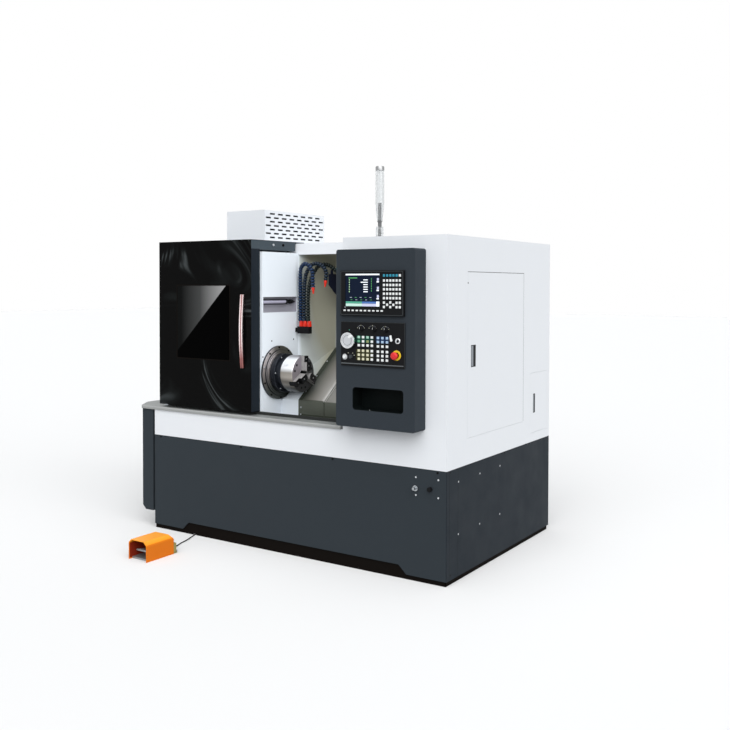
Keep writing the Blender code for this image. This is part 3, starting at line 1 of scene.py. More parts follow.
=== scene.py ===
"""Dresses a slant-bed CNC turning lathe and sets it in a pale studio.

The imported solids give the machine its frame. Each sub-assembly below is a class that
builds the pieces its maker would fit to those solids and gives them their finishes.
Lengths are metres in the machine's own frame: X runs right from the left end of the
base, Y back from its front and Z up from the skirt's lower edge. FLOOR_SHIFT carries
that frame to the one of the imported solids.
"""

import logging
import math
from collections.abc import Iterable, Sequence
from dataclasses import dataclass
from enum import Enum

import bmesh
import bpy
from mathutils import Matrix, Vector


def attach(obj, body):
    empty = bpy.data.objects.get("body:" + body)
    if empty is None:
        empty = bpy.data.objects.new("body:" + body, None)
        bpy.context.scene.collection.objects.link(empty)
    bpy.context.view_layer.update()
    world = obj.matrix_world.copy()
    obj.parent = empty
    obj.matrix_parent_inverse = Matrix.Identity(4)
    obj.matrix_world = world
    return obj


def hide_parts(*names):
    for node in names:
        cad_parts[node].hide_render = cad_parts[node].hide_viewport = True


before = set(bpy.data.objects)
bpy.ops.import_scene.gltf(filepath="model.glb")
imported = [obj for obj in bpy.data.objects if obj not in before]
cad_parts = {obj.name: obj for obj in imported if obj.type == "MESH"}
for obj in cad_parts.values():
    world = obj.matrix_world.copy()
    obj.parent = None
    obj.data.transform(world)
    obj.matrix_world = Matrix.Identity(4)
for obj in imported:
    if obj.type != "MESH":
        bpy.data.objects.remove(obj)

LOG = logging.getLogger("lathe")
FLOOR_SHIFT = Vector((-0.867, -0.366, 0.024))
# Metres in a millimetre.
MM = 0.001
# Clearance between a dressed part and the solid beside it.
FIT = 0.0003
# Faces that meet at a lesser angle than this are shaded as one.
SMOOTH_LIMIT = math.radians(50)

Span = tuple[float, float]
Point = tuple[float, float, float]
Outline = Sequence[tuple[float, float]]
Stops = Sequence[tuple[float, str]]
Shape = bmesh.types.BMesh
Tree = bpy.types.NodeTree
Socket = bpy.types.NodeSocket


class Axis(Enum):
    """A direction that a prism runs in, and how its outline's two numbers fall across it."""

    X = "X"
    Y = "Y"
    Z = "Z"

    def place(self, a: float, b: float, t: float) -> Point:
        """The point with outline numbers a and b at distance t along this axis."""
        return {"X": (t, a, b), "Y": (a, t, b), "Z": (a, b, t)}[self.value]


def linear(code: str) -> tuple[float, float, float, float]:
    """The linear colour of an sRGB hex code.

    Args:
        code: The code, such as "#353a40".

    Returns:
        Red, green, blue and an alpha of 1.
    """
    channels = [int(code[i : i + 2], 16) / 255 for i in (1, 3, 5)]
    red, green, blue = (c / 12.92 if c <= 0.04045 else ((c + 0.055) / 1.055) ** 2.4 for c in channels)
    return (red, green, blue, 1.0)


def per_metre(millimetres: float) -> float:
    """The texture scale at which one feature measures this many millimetres."""
    return 1 / (millimetres * MM)


def placed(name: str, data: bpy.types.ID) -> bpy.types.Object:
    """A new object of the scene with the given data."""
    item = bpy.data.objects.new(name, data)
    bpy.context.scene.collection.objects.link(item)
    return item


def add_node(
    tree: Tree, kind: str, inputs: dict[str | int, object] | None = None, **settings: object
) -> bpy.types.Node:
    """Adds one node to a tree.

    Args:
        tree: The tree of the material or the world.
        kind: The node's type, such as "ShaderNodeBump".
        inputs: For each input's name or number, a socket to link it to or its fixed value.
        **settings: Properties of the node itself.

    Returns:
        The new node.
    """
    node = tree.nodes.new(kind)
    for name, value in settings.items():
        setattr(node, name, value)
    for name, value in (inputs or {}).items():
        if isinstance(value, Socket):
            tree.links.new(value, node.inputs[name])
        else:
            node.inputs[name].default_value = value
    return node


def noise(
    tree: Tree, place: Socket, millimetres: float, detail: float, roughness: float = 0.5
) -> bpy.types.Node:
    """Adds a noise.

    Args:
        tree: The tree to add to.
        place: The point to look at.
        millimetres: Size of its features.
        detail: How many finer layers it has.
        roughness: How strong those are.

    Returns:
        The noise's node.
    """
    inputs = {"Vector": place, "Scale": per_metre(millimetres), "Detail": detail, "Roughness": roughness}
    return add_node(tree, "ShaderNodeTexNoise", inputs)


def number(tree: Tree, operation: str, *values: object) -> Socket:
    """The outcome of one operation on sockets or fixed numbers."""
    return add_node(tree, "ShaderNodeMath", dict(enumerate(values)), operation=operation).outputs[0]


def vector(tree: Tree, operation: str, *values: object) -> Socket:
    """The outcome of one operation on sockets or fixed vectors."""
    node = add_node(tree, "ShaderNodeVectorMath", dict(enumerate(values)), operation=operation)
    return node.outputs["Value" if operation in ("LENGTH", "DOT_PRODUCT") else "Vector"]


def share_of(tree: Tree, value: Socket, low: float, high: float) -> Socket:
    """0 where the value is low or less, 1 where it is high or more, and even between."""
    return add_node(
        tree, "ShaderNodeMapRange", {"Value": value, "From Min": low, "From Max": high}
    ).outputs[0]


def blend(tree: Tree, share: Socket, low: object, high: object) -> Socket:
    """The colour that lies between two others by a share."""
    return add_node(tree, "ShaderNodeMix", {"Factor": share, 6: low, 7: high}, data_type="RGBA").outputs[2]


def ramp(tree: Tree, source: Socket, stops: Stops) -> Socket:
    """Turns a 0 to 1 value into a colour that runs through the given stops.

    Args:
        tree: The tree to add to.
        source: The value.
        stops: Each stop's place and hex colour, in rising order.

    Returns:
        The colour socket.
    """
    node = add_node(tree, "ShaderNodeValToRGB", {"Fac": source})
    elements = node.color_ramp.elements
    while len(elements) > 1:
        elements.remove(elements[-1])
    elements[0].position, elements[0].color = stops[0][0], linear(stops[0][1])
    for place, code in stops[1:]:
        elements.new(place).color = linear(code)
    return node.outputs["Color"]


@dataclass(frozen=True)
class Finish:
    """A surface as its maker leaves it: one material with fine grain and slow changes of tone.

    Attributes:
        name: Real material and surface process.
        colour: Its colour as an sRGB hex code.
        roughness: Middle roughness; clouds move it a little either way.
        metallic: 1 for bare metal.
        specular: Strength of the reflection of a non-metal.
        cloud_mm: Size of the slow changes of tone.
        cloud_share: How far the tone sinks in them.
        grain_mm: Size of the surface grain.
        grain_depth_mm: Its depth.
        stretch: Grain scale along X, Y and Z; a low value draws it out into brush lines.
        soften_mm: Radius that edges seem rounded to.
        coat: Clear coat over the colour.
    """

    name: str
    colour: str
    roughness: float
    metallic: float = 0.0
    specular: float = 0.5
    cloud_mm: float = 150.0
    cloud_share: float = 0.05
    grain_mm: float = 0.8
    grain_depth_mm: float = 0.012
    stretch: Point = (1.0, 1.0, 1.0)
    soften_mm: float = 0.0
    coat: float = 0.0

    def material(self) -> bpy.types.Material:
        """Makes this finish's material the first time that it is asked for.

        Returns:
            The material.
        """
        made = bpy.data.materials.get(self.name)
        if made is not None:
            return made
        made = bpy.data.materials.new(self.name)
        made.use_nodes = True
        tree = made.node_tree
        shader = tree.nodes["Principled BSDF"]
        shader.inputs["Metallic"].default_value = self.metallic
        shader.inputs["Specular IOR Level"].default_value = self.specular
        shader.inputs["Coat Weight"].default_value = self.coat
        shader.inputs["Coat Roughness"].default_value = 0.08
        made.diffuse_color = linear(self.colour)
        place = add_node(tree, "ShaderNodeTexCoord").outputs["Object"]
        self.dress(tree, shader, place)
        return made

    def dress(self, tree: Tree, shader: bpy.types.Node, place: Socket) -> None:
        """Adds colour, roughness and grain to the shader.

        Args:
            tree: The material's tree.
            shader: Its Principled BSDF.
            place: The surface point, in metres in the piece's own frame.
        """
        tree.links.new(self.colour_over(tree, place), shader.inputs["Base Color"])
        clouds = self.clouds(tree, place)
        rough = add_node(
            tree, "ShaderNodeMapRange",
            {
                "Value": clouds, "From Min": 0.3, "From Max": 0.7, "To Min": self.roughness * 0.88,
                "To Max": min(1.0, self.roughness * 1.12)
            }
        )
        tree.links.new(rough.outputs["Result"], shader.inputs["Roughness"])
        height = self.height(tree, place)
        bump_inputs: dict[str | int, object] = {
            "Height": height, "Distance": self.grain_depth_mm * MM, "Strength": 1.0
        }
        if self.soften_mm:
            bevel = add_node(tree, "ShaderNodeBevel", {"Radius": self.soften_mm * MM}, samples=4)
            bump_inputs["Normal"] = bevel.outputs["Normal"]
        bump = add_node(tree, "ShaderNodeBump", bump_inputs)
        tree.links.new(bump.outputs["Normal"], shader.inputs["Normal"])

    def clouds(self, tree: Tree, place: Socket) -> Socket:
        """A slow 0 to 1 noise, cloud_mm across."""
        return noise(tree, place, self.cloud_mm, 4.0, 0.55).outputs["Fac"]

    def colour_over(self, tree: Tree, place: Socket) -> Socket:
        """The colour at a point: the finish's own, sunk a little where the clouds are.

        Args:
            tree: The material's tree.
            place: The surface point, in metres in the piece's own frame.

        Returns:
            The colour's socket.
        """
        base = linear(self.colour)
        low = tuple(c * (1 - self.cloud_share) for c in base[:3]) + (1.0,)
        return blend(tree, self.clouds(tree, place), low, base)

    def height(self, tree: Tree, place: Socket) -> Socket:
        """The grain's height, 0 to 1.

        Args:
            tree: The material's tree.
            place: The surface point, in metres in the piece's own frame.

        Returns:
            The height's socket.
        """
        scaled = add_node(tree, "ShaderNodeMapping", {"Vector": place, "Scale": self.stretch})
        return noise(tree, scaled.outputs["Vector"], self.grain_mm, 3.0).outputs["Fac"]


@dataclass(frozen=True)
class LatheTurned(Finish):
    """Bare steel with the fine rings a turning tool leaves around an axis parallel to X or Y.

    Attributes:
        centre: A point on that axis, in the machine's own frame.
        across: 1 for each direction that lies across the axis.
        ring_mm: Pitch of the rings.
    """

    centre: Point = (0.0, 0.0, 0.0)
    across: Point = (0.0, 1.0, 1.0)
    ring_mm: float = 0.6

    def height(self, tree: Tree, place: Socket) -> Socket:
        """The height of the rings, over the distance from the axis.

        Args:
            tree: The material's tree.
            place: The surface point, in metres in the piece's own frame.

        Returns:
            The height's socket.
        """
        away = vector(tree, "SUBTRACT", place, Vector(self.centre) + FLOOR_SHIFT)
        radius = vector(tree, "LENGTH", vector(tree, "MULTIPLY", away, self.across))
        inputs = {"W": radius, "Scale": per_metre(self.ring_mm), "Detail": 2.0}
        return add_node(tree, "ShaderNodeTexNoise", inputs, noise_dimensions="1D").outputs["Fac"]


def along(tree: Tree, place: Socket, start: Point, reach: Point) -> Socket:
    """How far a point lies from `start` in the direction `reach`, times the length of `reach`."""
    return vector(tree, "DOT_PRODUCT", vector(tree, "SUBTRACT", place, Vector(start) + FLOOR_SHIFT), reach)


@dataclass(frozen=True)
class PaintedLightCoat(Finish):
    """A coat with painted light and shade: its tone goes over into others in one direction.

    Attributes:
        stops: Places and tones along the change, from 0 to 1.
        start: Where the change starts, in the machine's own frame.
        reach: Its direction; the inverse of its length in metres is how far the change runs.
        fan: How the change quickens away from `start`, per metre.
        fold_shade: Painted shade on the sheet's folded front, ahead of `edge_y`.
        edge_y: Where that fold lies.
    """

    stops: Stops = ()
    start: Point = (0.0, 0.0, 0.0)
    reach: Point = (1.0, 0.0, 0.0)
    fan: Point = (0.0, 0.0, 0.0)
    fold_shade: str = ""
    edge_y: float = 0.0

    def colour_over(self, tree: Tree, place: Socket) -> Socket:
        """The tone at a point, from the stops.

        Args:
            tree: The material's tree.
            place: The surface point, in metres in the piece's own frame.

        Returns:
            The colour's socket.
        """
        gone = along(tree, place, self.start, self.reach)
        spread = number(tree, "MAXIMUM", along(tree, place, self.start, self.fan), -1.0)
        tone = ramp(tree, number(tree, "MULTIPLY_ADD", gone, spread, gone), self.stops)
        if not self.fold_shade:
            return tone
        behind = share_of(tree, along(tree, place, (0.0, self.edge_y, 0.0), (0.0, 1.0, 0.0)), 0.0, 0.002)
        return blend(tree, behind, linear(self.fold_shade), tone)


@dataclass(frozen=True)
class PaintedLightSteel(LatheTurned):
    """Turned steel with painted light: its tone changes around its axis, painted bright on one side and
    painted dark as shade on the other.

    Attributes:
        stops: Places around the axis and their tones: 0 and 1 point back, 0.25 down, 0.5 to
            the front and 0.75 up.
    """

    stops: Stops = ()

    def colour_over(self, tree: Tree, place: Socket) -> Socket:
        """The tone at a point, from the stops.

        Args:
            tree: The material's tree.
            place: The surface point, in metres in the piece's own frame.

        Returns:
            The colour's socket.
        """
        away = vector(tree, "SUBTRACT", place, Vector(self.centre) + FLOOR_SHIFT)
        axes = add_node(tree, "ShaderNodeSeparateXYZ", {0: away})
        turn = number(tree, "ARCTAN2", axes.outputs["Z"], number(tree, "MULTIPLY", axes.outputs["Y"], -1.0))
        return ramp(tree, share_of(tree, turn, -math.pi, math.pi), self.stops)


@dataclass(frozen=True)
class StrandFilm(Finish):
    """Gloss film printed with fine strands of smoke grey that come and go over black.

    Attributes:
        strand: Lightest tone of the strands.
        strand_mm: Pitch of the strands.
        veil_mm: Size of the patches that they show in.
    """

    strand: str = "#3f4344"
    strand_mm: float = 24.0
    veil_mm: float = 260.0

    def colour_over(self, tree: Tree, place: Socket) -> Socket:
        """Long strands that sweep with a slow noise, shown only through the veil.

        Args:
            tree: The material's tree.
            place: The surface point, in metres in the piece's own frame.

        Returns:
            The colour's socket.
        """
        drift = noise(tree, place, self.veil_mm * 2, 0.0)
        centred = vector(tree, "SUBTRACT", drift.outputs["Color"], (0.5, 0.5, 0.5))
        bent = vector(tree, "MULTIPLY_ADD", centred, (0.9, 0.9, 0.9), place)
        lean = {"Vector": bent, "Rotation": (0.0, math.radians(-24), 0.0), "Scale": (1.0, 0.2, 0.07)}
        leaned = add_node(tree, "ShaderNodeMapping", lean)
        strands = noise(tree, leaned.outputs["Vector"], self.strand_mm, 1.5)
        fine = share_of(tree, strands.outputs["Fac"], 0.44, 0.68)
        shown = share_of(tree, noise(tree, bent, self.veil_mm, 0.5).outputs["Fac"], 0.50, 0.66)
        product = number(tree, "MULTIPLY", shown, fine)
        return ramp(tree, product, [(0.0, self.colour), (0.35, "#151717"), (1.0, self.strand)])


@dataclass(frozen=True)
class PaneWithPaintedReflection(Finish):
    """Smoke-tinted safety glass with a painted reflection: a paler wedge that ends in a clean diagonal.

    Attributes:
        pale: The tone at the bright end of the painted reflection.
        left: Left end of the wedge, in the machine's own frame.
        wide: Its width.
        tip: A point of the diagonal.
        fall: Direction across the diagonal, towards the pale side.
    """

    pale: str = "#9a9a9a"
    left: float = 0.215
    wide: float = 0.320
    tip: Point = (0.546, 0.0, 1.377)
    fall: Point = (-0.709, 0.0, 0.705)

    def colour_over(self, tree: Tree, place: Socket) -> Socket:
        """The painted reflection, grey that grows to the right above the diagonal, and the dark tint below
        it.

        Args:
            tree: The material's tree.
            place: The surface point, in metres in the piece's own frame.

        Returns:
            The colour's socket.
        """
        # The paler wedge is a painted reflection.
        wedge = ramp(
            tree, along(tree, place, (self.left, 0.0, 0.0), (1 / self.wide, 0.0, 0.0)),
            [(0.0, "#121313"), (0.45, "#434444"), (1.0, self.pale)]
        )
        side = share_of(tree, along(tree, place, self.tip, self.fall), -0.001, 0.001)
        return blend(tree, side, linear(self.colour), wedge)


@dataclass(frozen=True)
class Lit(Finish):
    """A surface that glows a little by itself, such as a field of a liquid-crystal display.

    Attributes:
        glow: Strength of its own light.
    """

    glow: float = 0.8

    def dress(self, tree: Tree, shader: bpy.types.Node, place: Socket) -> None:
        """Adds the glow to the plain finish.

        Args:
            tree: The material's tree.
            shader: Its Principled BSDF.
            place: The surface point.
        """
        super().dress(tree, shader, place)
        shader.inputs["Emission Color"].default_value = linear(self.colour)
        shader.inputs["Emission Strength"].default_value = self.glow


@dataclass(frozen=True)
class ClearMoulding(Finish):
    """Clear moulded plastic or glass that lets most light through.

    Attributes:
        through: Share of the light that passes.
    """

    through: float = 0.85

    def dress(self, tree: Tree, shader: bpy.types.Node, place: Socket) -> None:
        """Adds the transmission to the plain finish.

        Args:
            tree: The material's tree.
            shader: Its Principled BSDF.
            place: The surface point.
        """
        super().dress(tree, shader, place)
        shader.inputs["Transmission Weight"].default_value = self.through
        shader.inputs["IOR"].default_value = 1.49


def keycap(tone: str, code: str) -> Finish:
    """Moulded keycap plastic of a tone and its hex code."""
    return Finish(f"abs_keycap_{tone}", code, 0.40, specular=0.3, cloud_mm=12.0)


def screen_print(tone: str, code: str, specular: float = 0.1) -> Finish:
    """Ink of a tone and its hex code, laid on through a screen."""
    return Finish(f"screen_print_{tone}", code, 0.55, specular=specular, cloud_mm=12.0)


def display_field(tone: str, code: str, glow: float) -> Lit:
    """A field of the display that glows in its own tone."""
    return Lit(f"display_field_{tone}", code, 0.4, specular=0.2, glow=glow)


def link_moulding(tone: str, code: str, roughness: float) -> Finish:
    """Acetal of a hose's links: self-coloured and glossy."""
    return Finish(f"acetal_moulded_{tone}", code, roughness, specular=0.35, cloud_mm=8.0, cloud_share=0.2)


# Where the spindle's axis crosses X = 0; the turned steels are ringed around it.
SPINDLE_AXIS = (0.0, 0.215, 0.902)

# Polyester powder coat in slate: a fine orange-peel that takes a soft, low sheen. Its right side face is
# painted darker, as shade.
SLATE = PaintedLightCoat(
    "polyester_powder_coat_slate", "#30363b", 0.55, specular=0.08, grain_mm=1.1, grain_depth_mm=0.020,
    soften_mm=1.5, stops=((0.0, "#30363b"), (1.0, "#22282e")), start=(1.9095, 0.0, 0.0),
    reach=(400.0, 0.0, 0.0)
)
# The same coat on the control box, a touch lighter under the front light.
BOX_SLATE = Finish(
    "polyester_powder_coat_graphite", "#30363c", 0.55, specular=0.10, grain_mm=1.0, grain_depth_mm=0.018
)
# Baked white powder coat: cool white with a faint peel that breaks up the sheen.
WHITE = Finish(
    "baked_powder_coat_white", "#e4e7eb", 0.45, specular=0.20, grain_mm=1.4, grain_depth_mm=0.012,
    cloud_share=0.025, soften_mm=1.5
)
# Olive primer of the back wall, dull. Painted light: it is paler near the top to make up for the roof's
# shadow there, and paler grey again towards the bottom.
OLIVE = PaintedLightCoat(
    "baked_primer_olive_grey", "#8a8c88", 0.60, specular=0.12,
    stops=((0.0, "#d6d1b6"), (0.15, "#c4c0a6"), (0.28, "#a19e88"), (0.55, "#8c8c80"), (1.0, "#b4b8b8")),
    start=(0.0, 0.0, 1.60), reach=(0.0, 0.0, -1.7)
)
# Pale blue-white coat of the wall in front of the spindle. Its folded facet is painted darker into olive as
# shade, the sooner the higher it lies.
GUARD_WHITE = PaintedLightCoat(
    "baked_powder_coat_pale_blue_white", "#e8eff6", 0.45, specular=0.15,
    stops=((0.0, "#e8eff6"), (0.12, "#c3cac9"), (0.45, "#a9ada9"), (1.0, "#9c9b8b")),
    start=(0.742, 0.0, 0.95), reach=(8.0, 0.0, 0.0), fan=(0.0, 0.0, 6.0)
)
# Iron casting under filler and enamel: satin grey with a softly uneven skin.
CASTING = Finish(
    "cast_iron_enamelled_grey", "#6d7378", 0.55, specular=0.3, grain_mm=3.0, grain_depth_mm=0.08,
    cloud_share=0.15
)
# Stainless sheet, long grain along the machine: broad soft streaks. Painted light: a bright line along the
# sill's top edge, and near-black painted shade above it.
SHEET_STEEL = PaintedLightCoat(
    "stainless_sheet_long_grain", "#9b9d9c", 0.48, metallic=0.20, specular=0.2, grain_mm=0.5,
    grain_depth_mm=0.006, stretch=(0.02, 1.0, 1.0),
    stops=(
        (0.0, "#8f9190"), (0.45, "#9b9d9c"), (0.66, "#b4b6b5"), (0.70, "#8d908f"), (0.725, "#2c2e2d"),
        (1.0, "#2c2e2d")
    ),
    start=(0.0, 0.0, 0.658), reach=(0.0, 0.0, 28.0)
)
# The same sheet grained up the slope, as the telescopic covers are. Painted light: dark olive shade at its
# left end by the wall, a painted highlight near its right edge, and a darker painted shade on its folded
# front.
COVER_STEEL = PaintedLightCoat(
    "stainless_sheet_cross_grain", "#8f8e89", 0.42, metallic=0.35, grain_mm=0.5, grain_depth_mm=0.006,
    stretch=(1.0, 0.03, 0.03),
    stops=(
        (0.0, "#3f443b"), (0.12, "#4c5048"), (0.35, "#7c7a73"), (0.8, "#a3a09b"), (0.92, "#d0cecb"),
        (1.0, "#8d8c87")
    ),
    start=(0.872, 0.0, 0.0), reach=(5.9, 0.0, 0.0), fold_shade="#565a51", edge_y=0.2500
)
# The rolled edges of the covers, painted brighter than their sheet as a highlight.
SHEET_BRIGHT = Finish("stainless_sheet_painted_highlight", "#d8d8d4", 0.28, metallic=0.9, cloud_share=0.06)
# Rubber wiper strip and joints of the covers: dull olive-black. The same dark strips lie on the middle cover
# as painted shadow along its seams.
STRIP_DARK = Finish(
    "nitrile_wiper_strip_and_painted_shadow", "#3c4038", 0.50, specular=0.12, cloud_share=0.2, cloud_mm=40.0
)
# Navy-black coat of the hose bracket, dull.
BRACKET = Finish("polyester_powder_coat_navy_black", "#15192a", 0.50, specular=0.1)
# Black oxide on steel: deep blue-black with a dry sheen.
BLACK_OXIDE = Finish("steel_black_oxide", "#2a2d31", 0.38, metallic=1.0, cloud_share=0.25, cloud_mm=40.0)
# Black oxide on screws and small fasteners, nearly dull.
SCREW_BLACK = Finish("steel_screw_black_oxide", "#0b0b0c", 0.50, specular=0.08, cloud_mm=10.0)
# Near-black sheet set behind the skirt down to the floor and behind the louvre slots as painted shadow; it is
# also the door pane's black rubber seal.
SEAL_AND_SHADOW_BLACK = Finish("black_seal_and_painted_shadow", "#14110f", 0.70, specular=0.02, cloud_mm=60.0)
# Zinc on small screws: light grey that catches the studio light.
SCREW_ZINC = Finish("steel_screw_zinc_plated", "#c9ccd0", 0.30, metallic=1.0, cloud_mm=10.0)
# Ground and hardened steel: bright satin with faint streaks.
GROUND = Finish(
    "hardened_steel_ground", "#b9babb", 0.28, metallic=1.0, grain_mm=0.4, grain_depth_mm=0.004,
    cloud_share=0.14, cloud_mm=60.0
)
# Fine-turned steel of the chuck, with painted light around the spindle: a painted highlight, near white, in
# the upper front, and painted shade below.
CHUCK_STEEL = PaintedLightSteel(
    "hardened_steel_fine_turned", "#a2a2a0", 0.30, metallic=0.35, grain_depth_mm=0.003, ring_mm=2.4,
    centre=SPINDLE_AXIS,
    stops=(
        (0.0, "#4a4c4b"), (0.24, "#2c2e2d"), (0.36, "#4c4e4c"), (0.41, "#948f88"), (0.44, "#6f6b65"),
        (0.48, "#a39d95"), (0.52, "#8a867f"), (0.54, "#c9cbcd"), (0.56, "#f4f6f9"), (0.65, "#f0f2f5"),
        (0.68, "#c0c2c6"), (0.705, "#8d8b90"), (0.80, "#6f7072"), (1.0, "#4a4c4b")
    )
)
# The chuck's face: the same steel, painted light in its upper front sector and painted shade below.
CHUCK_FACE = PaintedLightSteel(
    "hardened_steel_faced", "#8a8084", 0.36, metallic=0.25, grain_depth_mm=0.003, ring_mm=1.6,
    centre=SPINDLE_AXIS,
    stops=(
        (0.0, "#3a3c3d"), (0.25, "#232527"), (0.42, "#2f3133"), (0.45, "#7b7578"), (0.70, "#89838a"),
        (0.78, "#4c4c51"), (1.0, "#3a3c3d")
    )
)
# Satin-turned steel of the bearing cap, greyer and coarser, with a painted highlight in its upper front and
# painted shade below.
CAP_STEEL = PaintedLightSteel(
    "mild_steel_satin_turned", "#8e9090", 0.38, metallic=0.25, grain_depth_mm=0.004, ring_mm=2.2,
    centre=SPINDLE_AXIS,
    stops=(
        (0.0, "#3c403c"), (0.25, "#353a36"), (0.38, "#4a4e4b"), (0.46, "#6e6a68"), (0.52, "#928b89"),
        (0.60, "#c3bcbd"), (0.66, "#b5aeae"), (0.70, "#6c6966"), (0.76, "#4b4a43"), (1.0, "#3c403c")
    )
)
# Dark hub behind the chuck: oiled black steel with turned rings.
HUB_STEEL = LatheTurned(
    "oiled_steel_turned_black", "#2c3038", 0.30, metallic=0.6, grain_depth_mm=0.006, ring_mm=1.4,
    centre=SPINDLE_AXIS, cloud_share=0.25, cloud_mm=30.0
)
# The jaws' ground steel, pale, and the same steel painted near black as shade on their fronts, outer ends and
# the sides that face back.
JAW_SIDE = Finish(
    "hardened_steel_ground_pale", "#a9a7a6", 0.36, metallic=0.4, cloud_share=0.08, cloud_mm=40.0
)
JAW_SHADE = Finish("steel_jaw_painted_shade", "#2c2c2e", 0.34, metallic=0.8, cloud_share=0.30, cloud_mm=14.0)
# Polished chrome on the handwheel rim, lever and key.
CHROME = Finish("brass_chrome_plated", "#dfe1e3", 0.12, metallic=1.0, grain_depth_mm=0.001, cloud_mm=20.0)
# Satin disc in the handwheel, spun on its own axis.
WHEEL_DISC = LatheTurned(
    "aluminium_spun_satin", "#c8cbcf", 0.33, metallic=1.0, grain_depth_mm=0.010, centre=(1.440, 0.0, 1.119),
    across=(1.0, 0.0, 1.0)
)
# Rose-gold anodised aluminium of the door pull, drawn along its length. Painted light: shade darkens its
# lower end, and a painted highlight, near white, runs up the rest.
ROSE = PaintedLightCoat(
    "aluminium_anodised_rose", "#f0c9c6", 0.28, metallic=1.0, grain_mm=0.4, grain_depth_mm=0.008,
    stretch=(1.0, 1.0, 0.03),
    stops=(
        (0.0, "#8a5552"), (0.14, "#a8706c"), (0.34, "#f6dfde"), (0.55, "#fff2f2"), (0.85, "#f6e2e2"),
        (1.0, "#e2cbcb")
    ),
    start=(0.0, 0.0, 0.932), reach=(0.0, 0.0, 2.494)
)
# The same metal in the groove between the bars of the pull, dulled by its own shade.
ROSE_GROOVE = Finish("aluminium_anodised_rose_groove", "#a0706f", 0.45, metallic=0.8, cloud_share=0.08)
# Printed gloss film on the sliding door.
DOOR_FILM = StrandFilm(
    "gloss_film_strand_print", "#0a0a0a", 0.24, specular=0.025, grain_depth_mm=0.001, grain_mm=60.0
)
# Side flanges of the door: the slate coat, painted darker as shade.
FLANGE = Finish("polyester_powder_coat_slate_flange_painted_shade", "#20262d", 0.55, specular=0.08)
# The hood's skirt: the same coat, painted lighter where the light from above reaches it.
HOOD = Finish("polyester_powder_coat_slate_hood_painted_light", "#475158", 0.55, specular=0.10)
# Tinted pane in the door: almost black, with a painted grey reflection in its upper half.
PANE = PaneWithPaintedReflection(
    "safety_glass_smoke_tinted", "#020202", 0.10, specular=0.010, grain_mm=60.0, grain_depth_mm=0.0005
)
# Moulded black plastic: fine spark-eroded texture, dull.
BLACK_MOULDING = Finish(
    "abs_moulded_black", "#101113", 0.50, specular=0.10, grain_mm=0.35, grain_depth_mm=0.010, cloud_mm=30.0
)
# Slightly lighter black for raised rims and keypads, and for the thin strips along the operator panel's top
# and right edges, which are painted highlights.
RIM_MOULDING = Finish(
    "abs_moulded_charcoal_and_painted_highlight", "#3a3e40", 0.50, specular=0.15, grain_mm=0.35, grain_depth_mm=0.010,
    cloud_mm=30.0
)
# Black nitrile rubber: matt, and a little grey with handling.
RUBBER = Finish(
    "nitrile_rubber_moulded", "#121213", 0.75, specular=0.25, grain_mm=0.6, grain_depth_mm=0.02,
    cloud_share=0.25, cloud_mm=15.0
)
# Black sheath of the foot switch's cable.
CABLE_BLACK = Finish("pvc_cable_sheath_black", "#060504", 0.60, specular=0.03, cloud_mm=15.0)
# Keycaps, moulded through in their colours: an even tone with a soft sheen.
KEY_WHITE = keycap("white", "#e9ecec")
KEY_TEAL = keycap("teal", "#2f8fa8")
KEY_GREEN = keycap("green", "#5fa07c")
KEY_MINT = keycap("mint", "#a8d3c0")
KEY_OLIVE = keycap("olive", "#8f9a6a")
KEY_PALE_BLUE = keycap("pale_blue", "#a9c4de")
KEY_CREAM = keycap("cream", "#d9d6b8")
# Inks of the fields behind the mode, feed and jog keys, and of the scales: flat and nearly dull.
PRINT_GREEN = screen_print("dark_green", "#0f3a30")
PRINT_BLUE = screen_print("dark_blue", "#142a4c")
PRINT_OLIVE = screen_print("olive", "#34341e")
INK_CREAM = screen_print("cream", "#cfcfb8", 0.2)
INK_GREY = screen_print("grey", "#8d9298", 0.2)
# Fields of the display: each glows a little in its own colour.
SCREEN_NAVY = Lit("display_field_navy", "#111a2c", 0.35, specular=0.05, glow=0.15)
SCREEN_WHITE = display_field("white", "#e6ecf0", 0.5)
SCREEN_GREEN = display_field("green", "#4f9a5c", 0.25)
SCREEN_LIME = display_field("lime", "#a9cfa0", 0.3)
SCREEN_GREY = display_field("grey", "#a9b2c0", 0.4)
SCREEN_TEAL = display_field("teal", "#4f9f86", 0.2)
SCREEN_BLUE = display_field("blue", "#4a6fae", 0.2)
SCREEN_MINT = display_field("mint", "#bfe0d6", 0.2)
SCREEN_LAVENDER = display_field("lavender", "#c3c6e0", 0.2)
# Grey moulding of the panel's hand rail: even and half matt.
RAIL_GREY = Finish("abs_moulded_rail_grey", "#5d6163", 0.50, specular=0.15, cloud_mm=20.0)
# Red moulding of the emergency stop: bright and a little glossy.
RED_MOULDING = Finish("nylon_moulded_red", "#d5262b", 0.34, specular=0.4, cloud_mm=12.0)
# Yellow moulded collar under it, glossy too.
YELLOW_MOULDING = Finish("nylon_moulded_yellow", "#e9c62c", 0.40, specular=0.3, cloud_mm=12.0)
# Acetal links of the front, middle and rear hose: dark, with a small bright glint on each ball.
LINK_BLUE = link_moulding("blue", "#0a2b50", 0.26)
LINK_DEEP_BLUE = link_moulding("deep_blue", "#0a2134", 0.28)
LINK_DARK_GREEN = link_moulding("dark_green", "#0a1a17", 0.28)
# The gaps between the links, where no light falls.
LINK_GAP = Finish("acetal_moulded_socket_shade", "#030507", 0.60, specular=0.05, cloud_mm=8.0)
# Orange-red nuts and nozzles, half glossy as moulded.
NOZZLE_ORANGE = Finish(
    "acetal_moulded_orange_red", "#d22d1c", 0.38, specular=0.35, cloud_mm=8.0, cloud_share=0.12
)
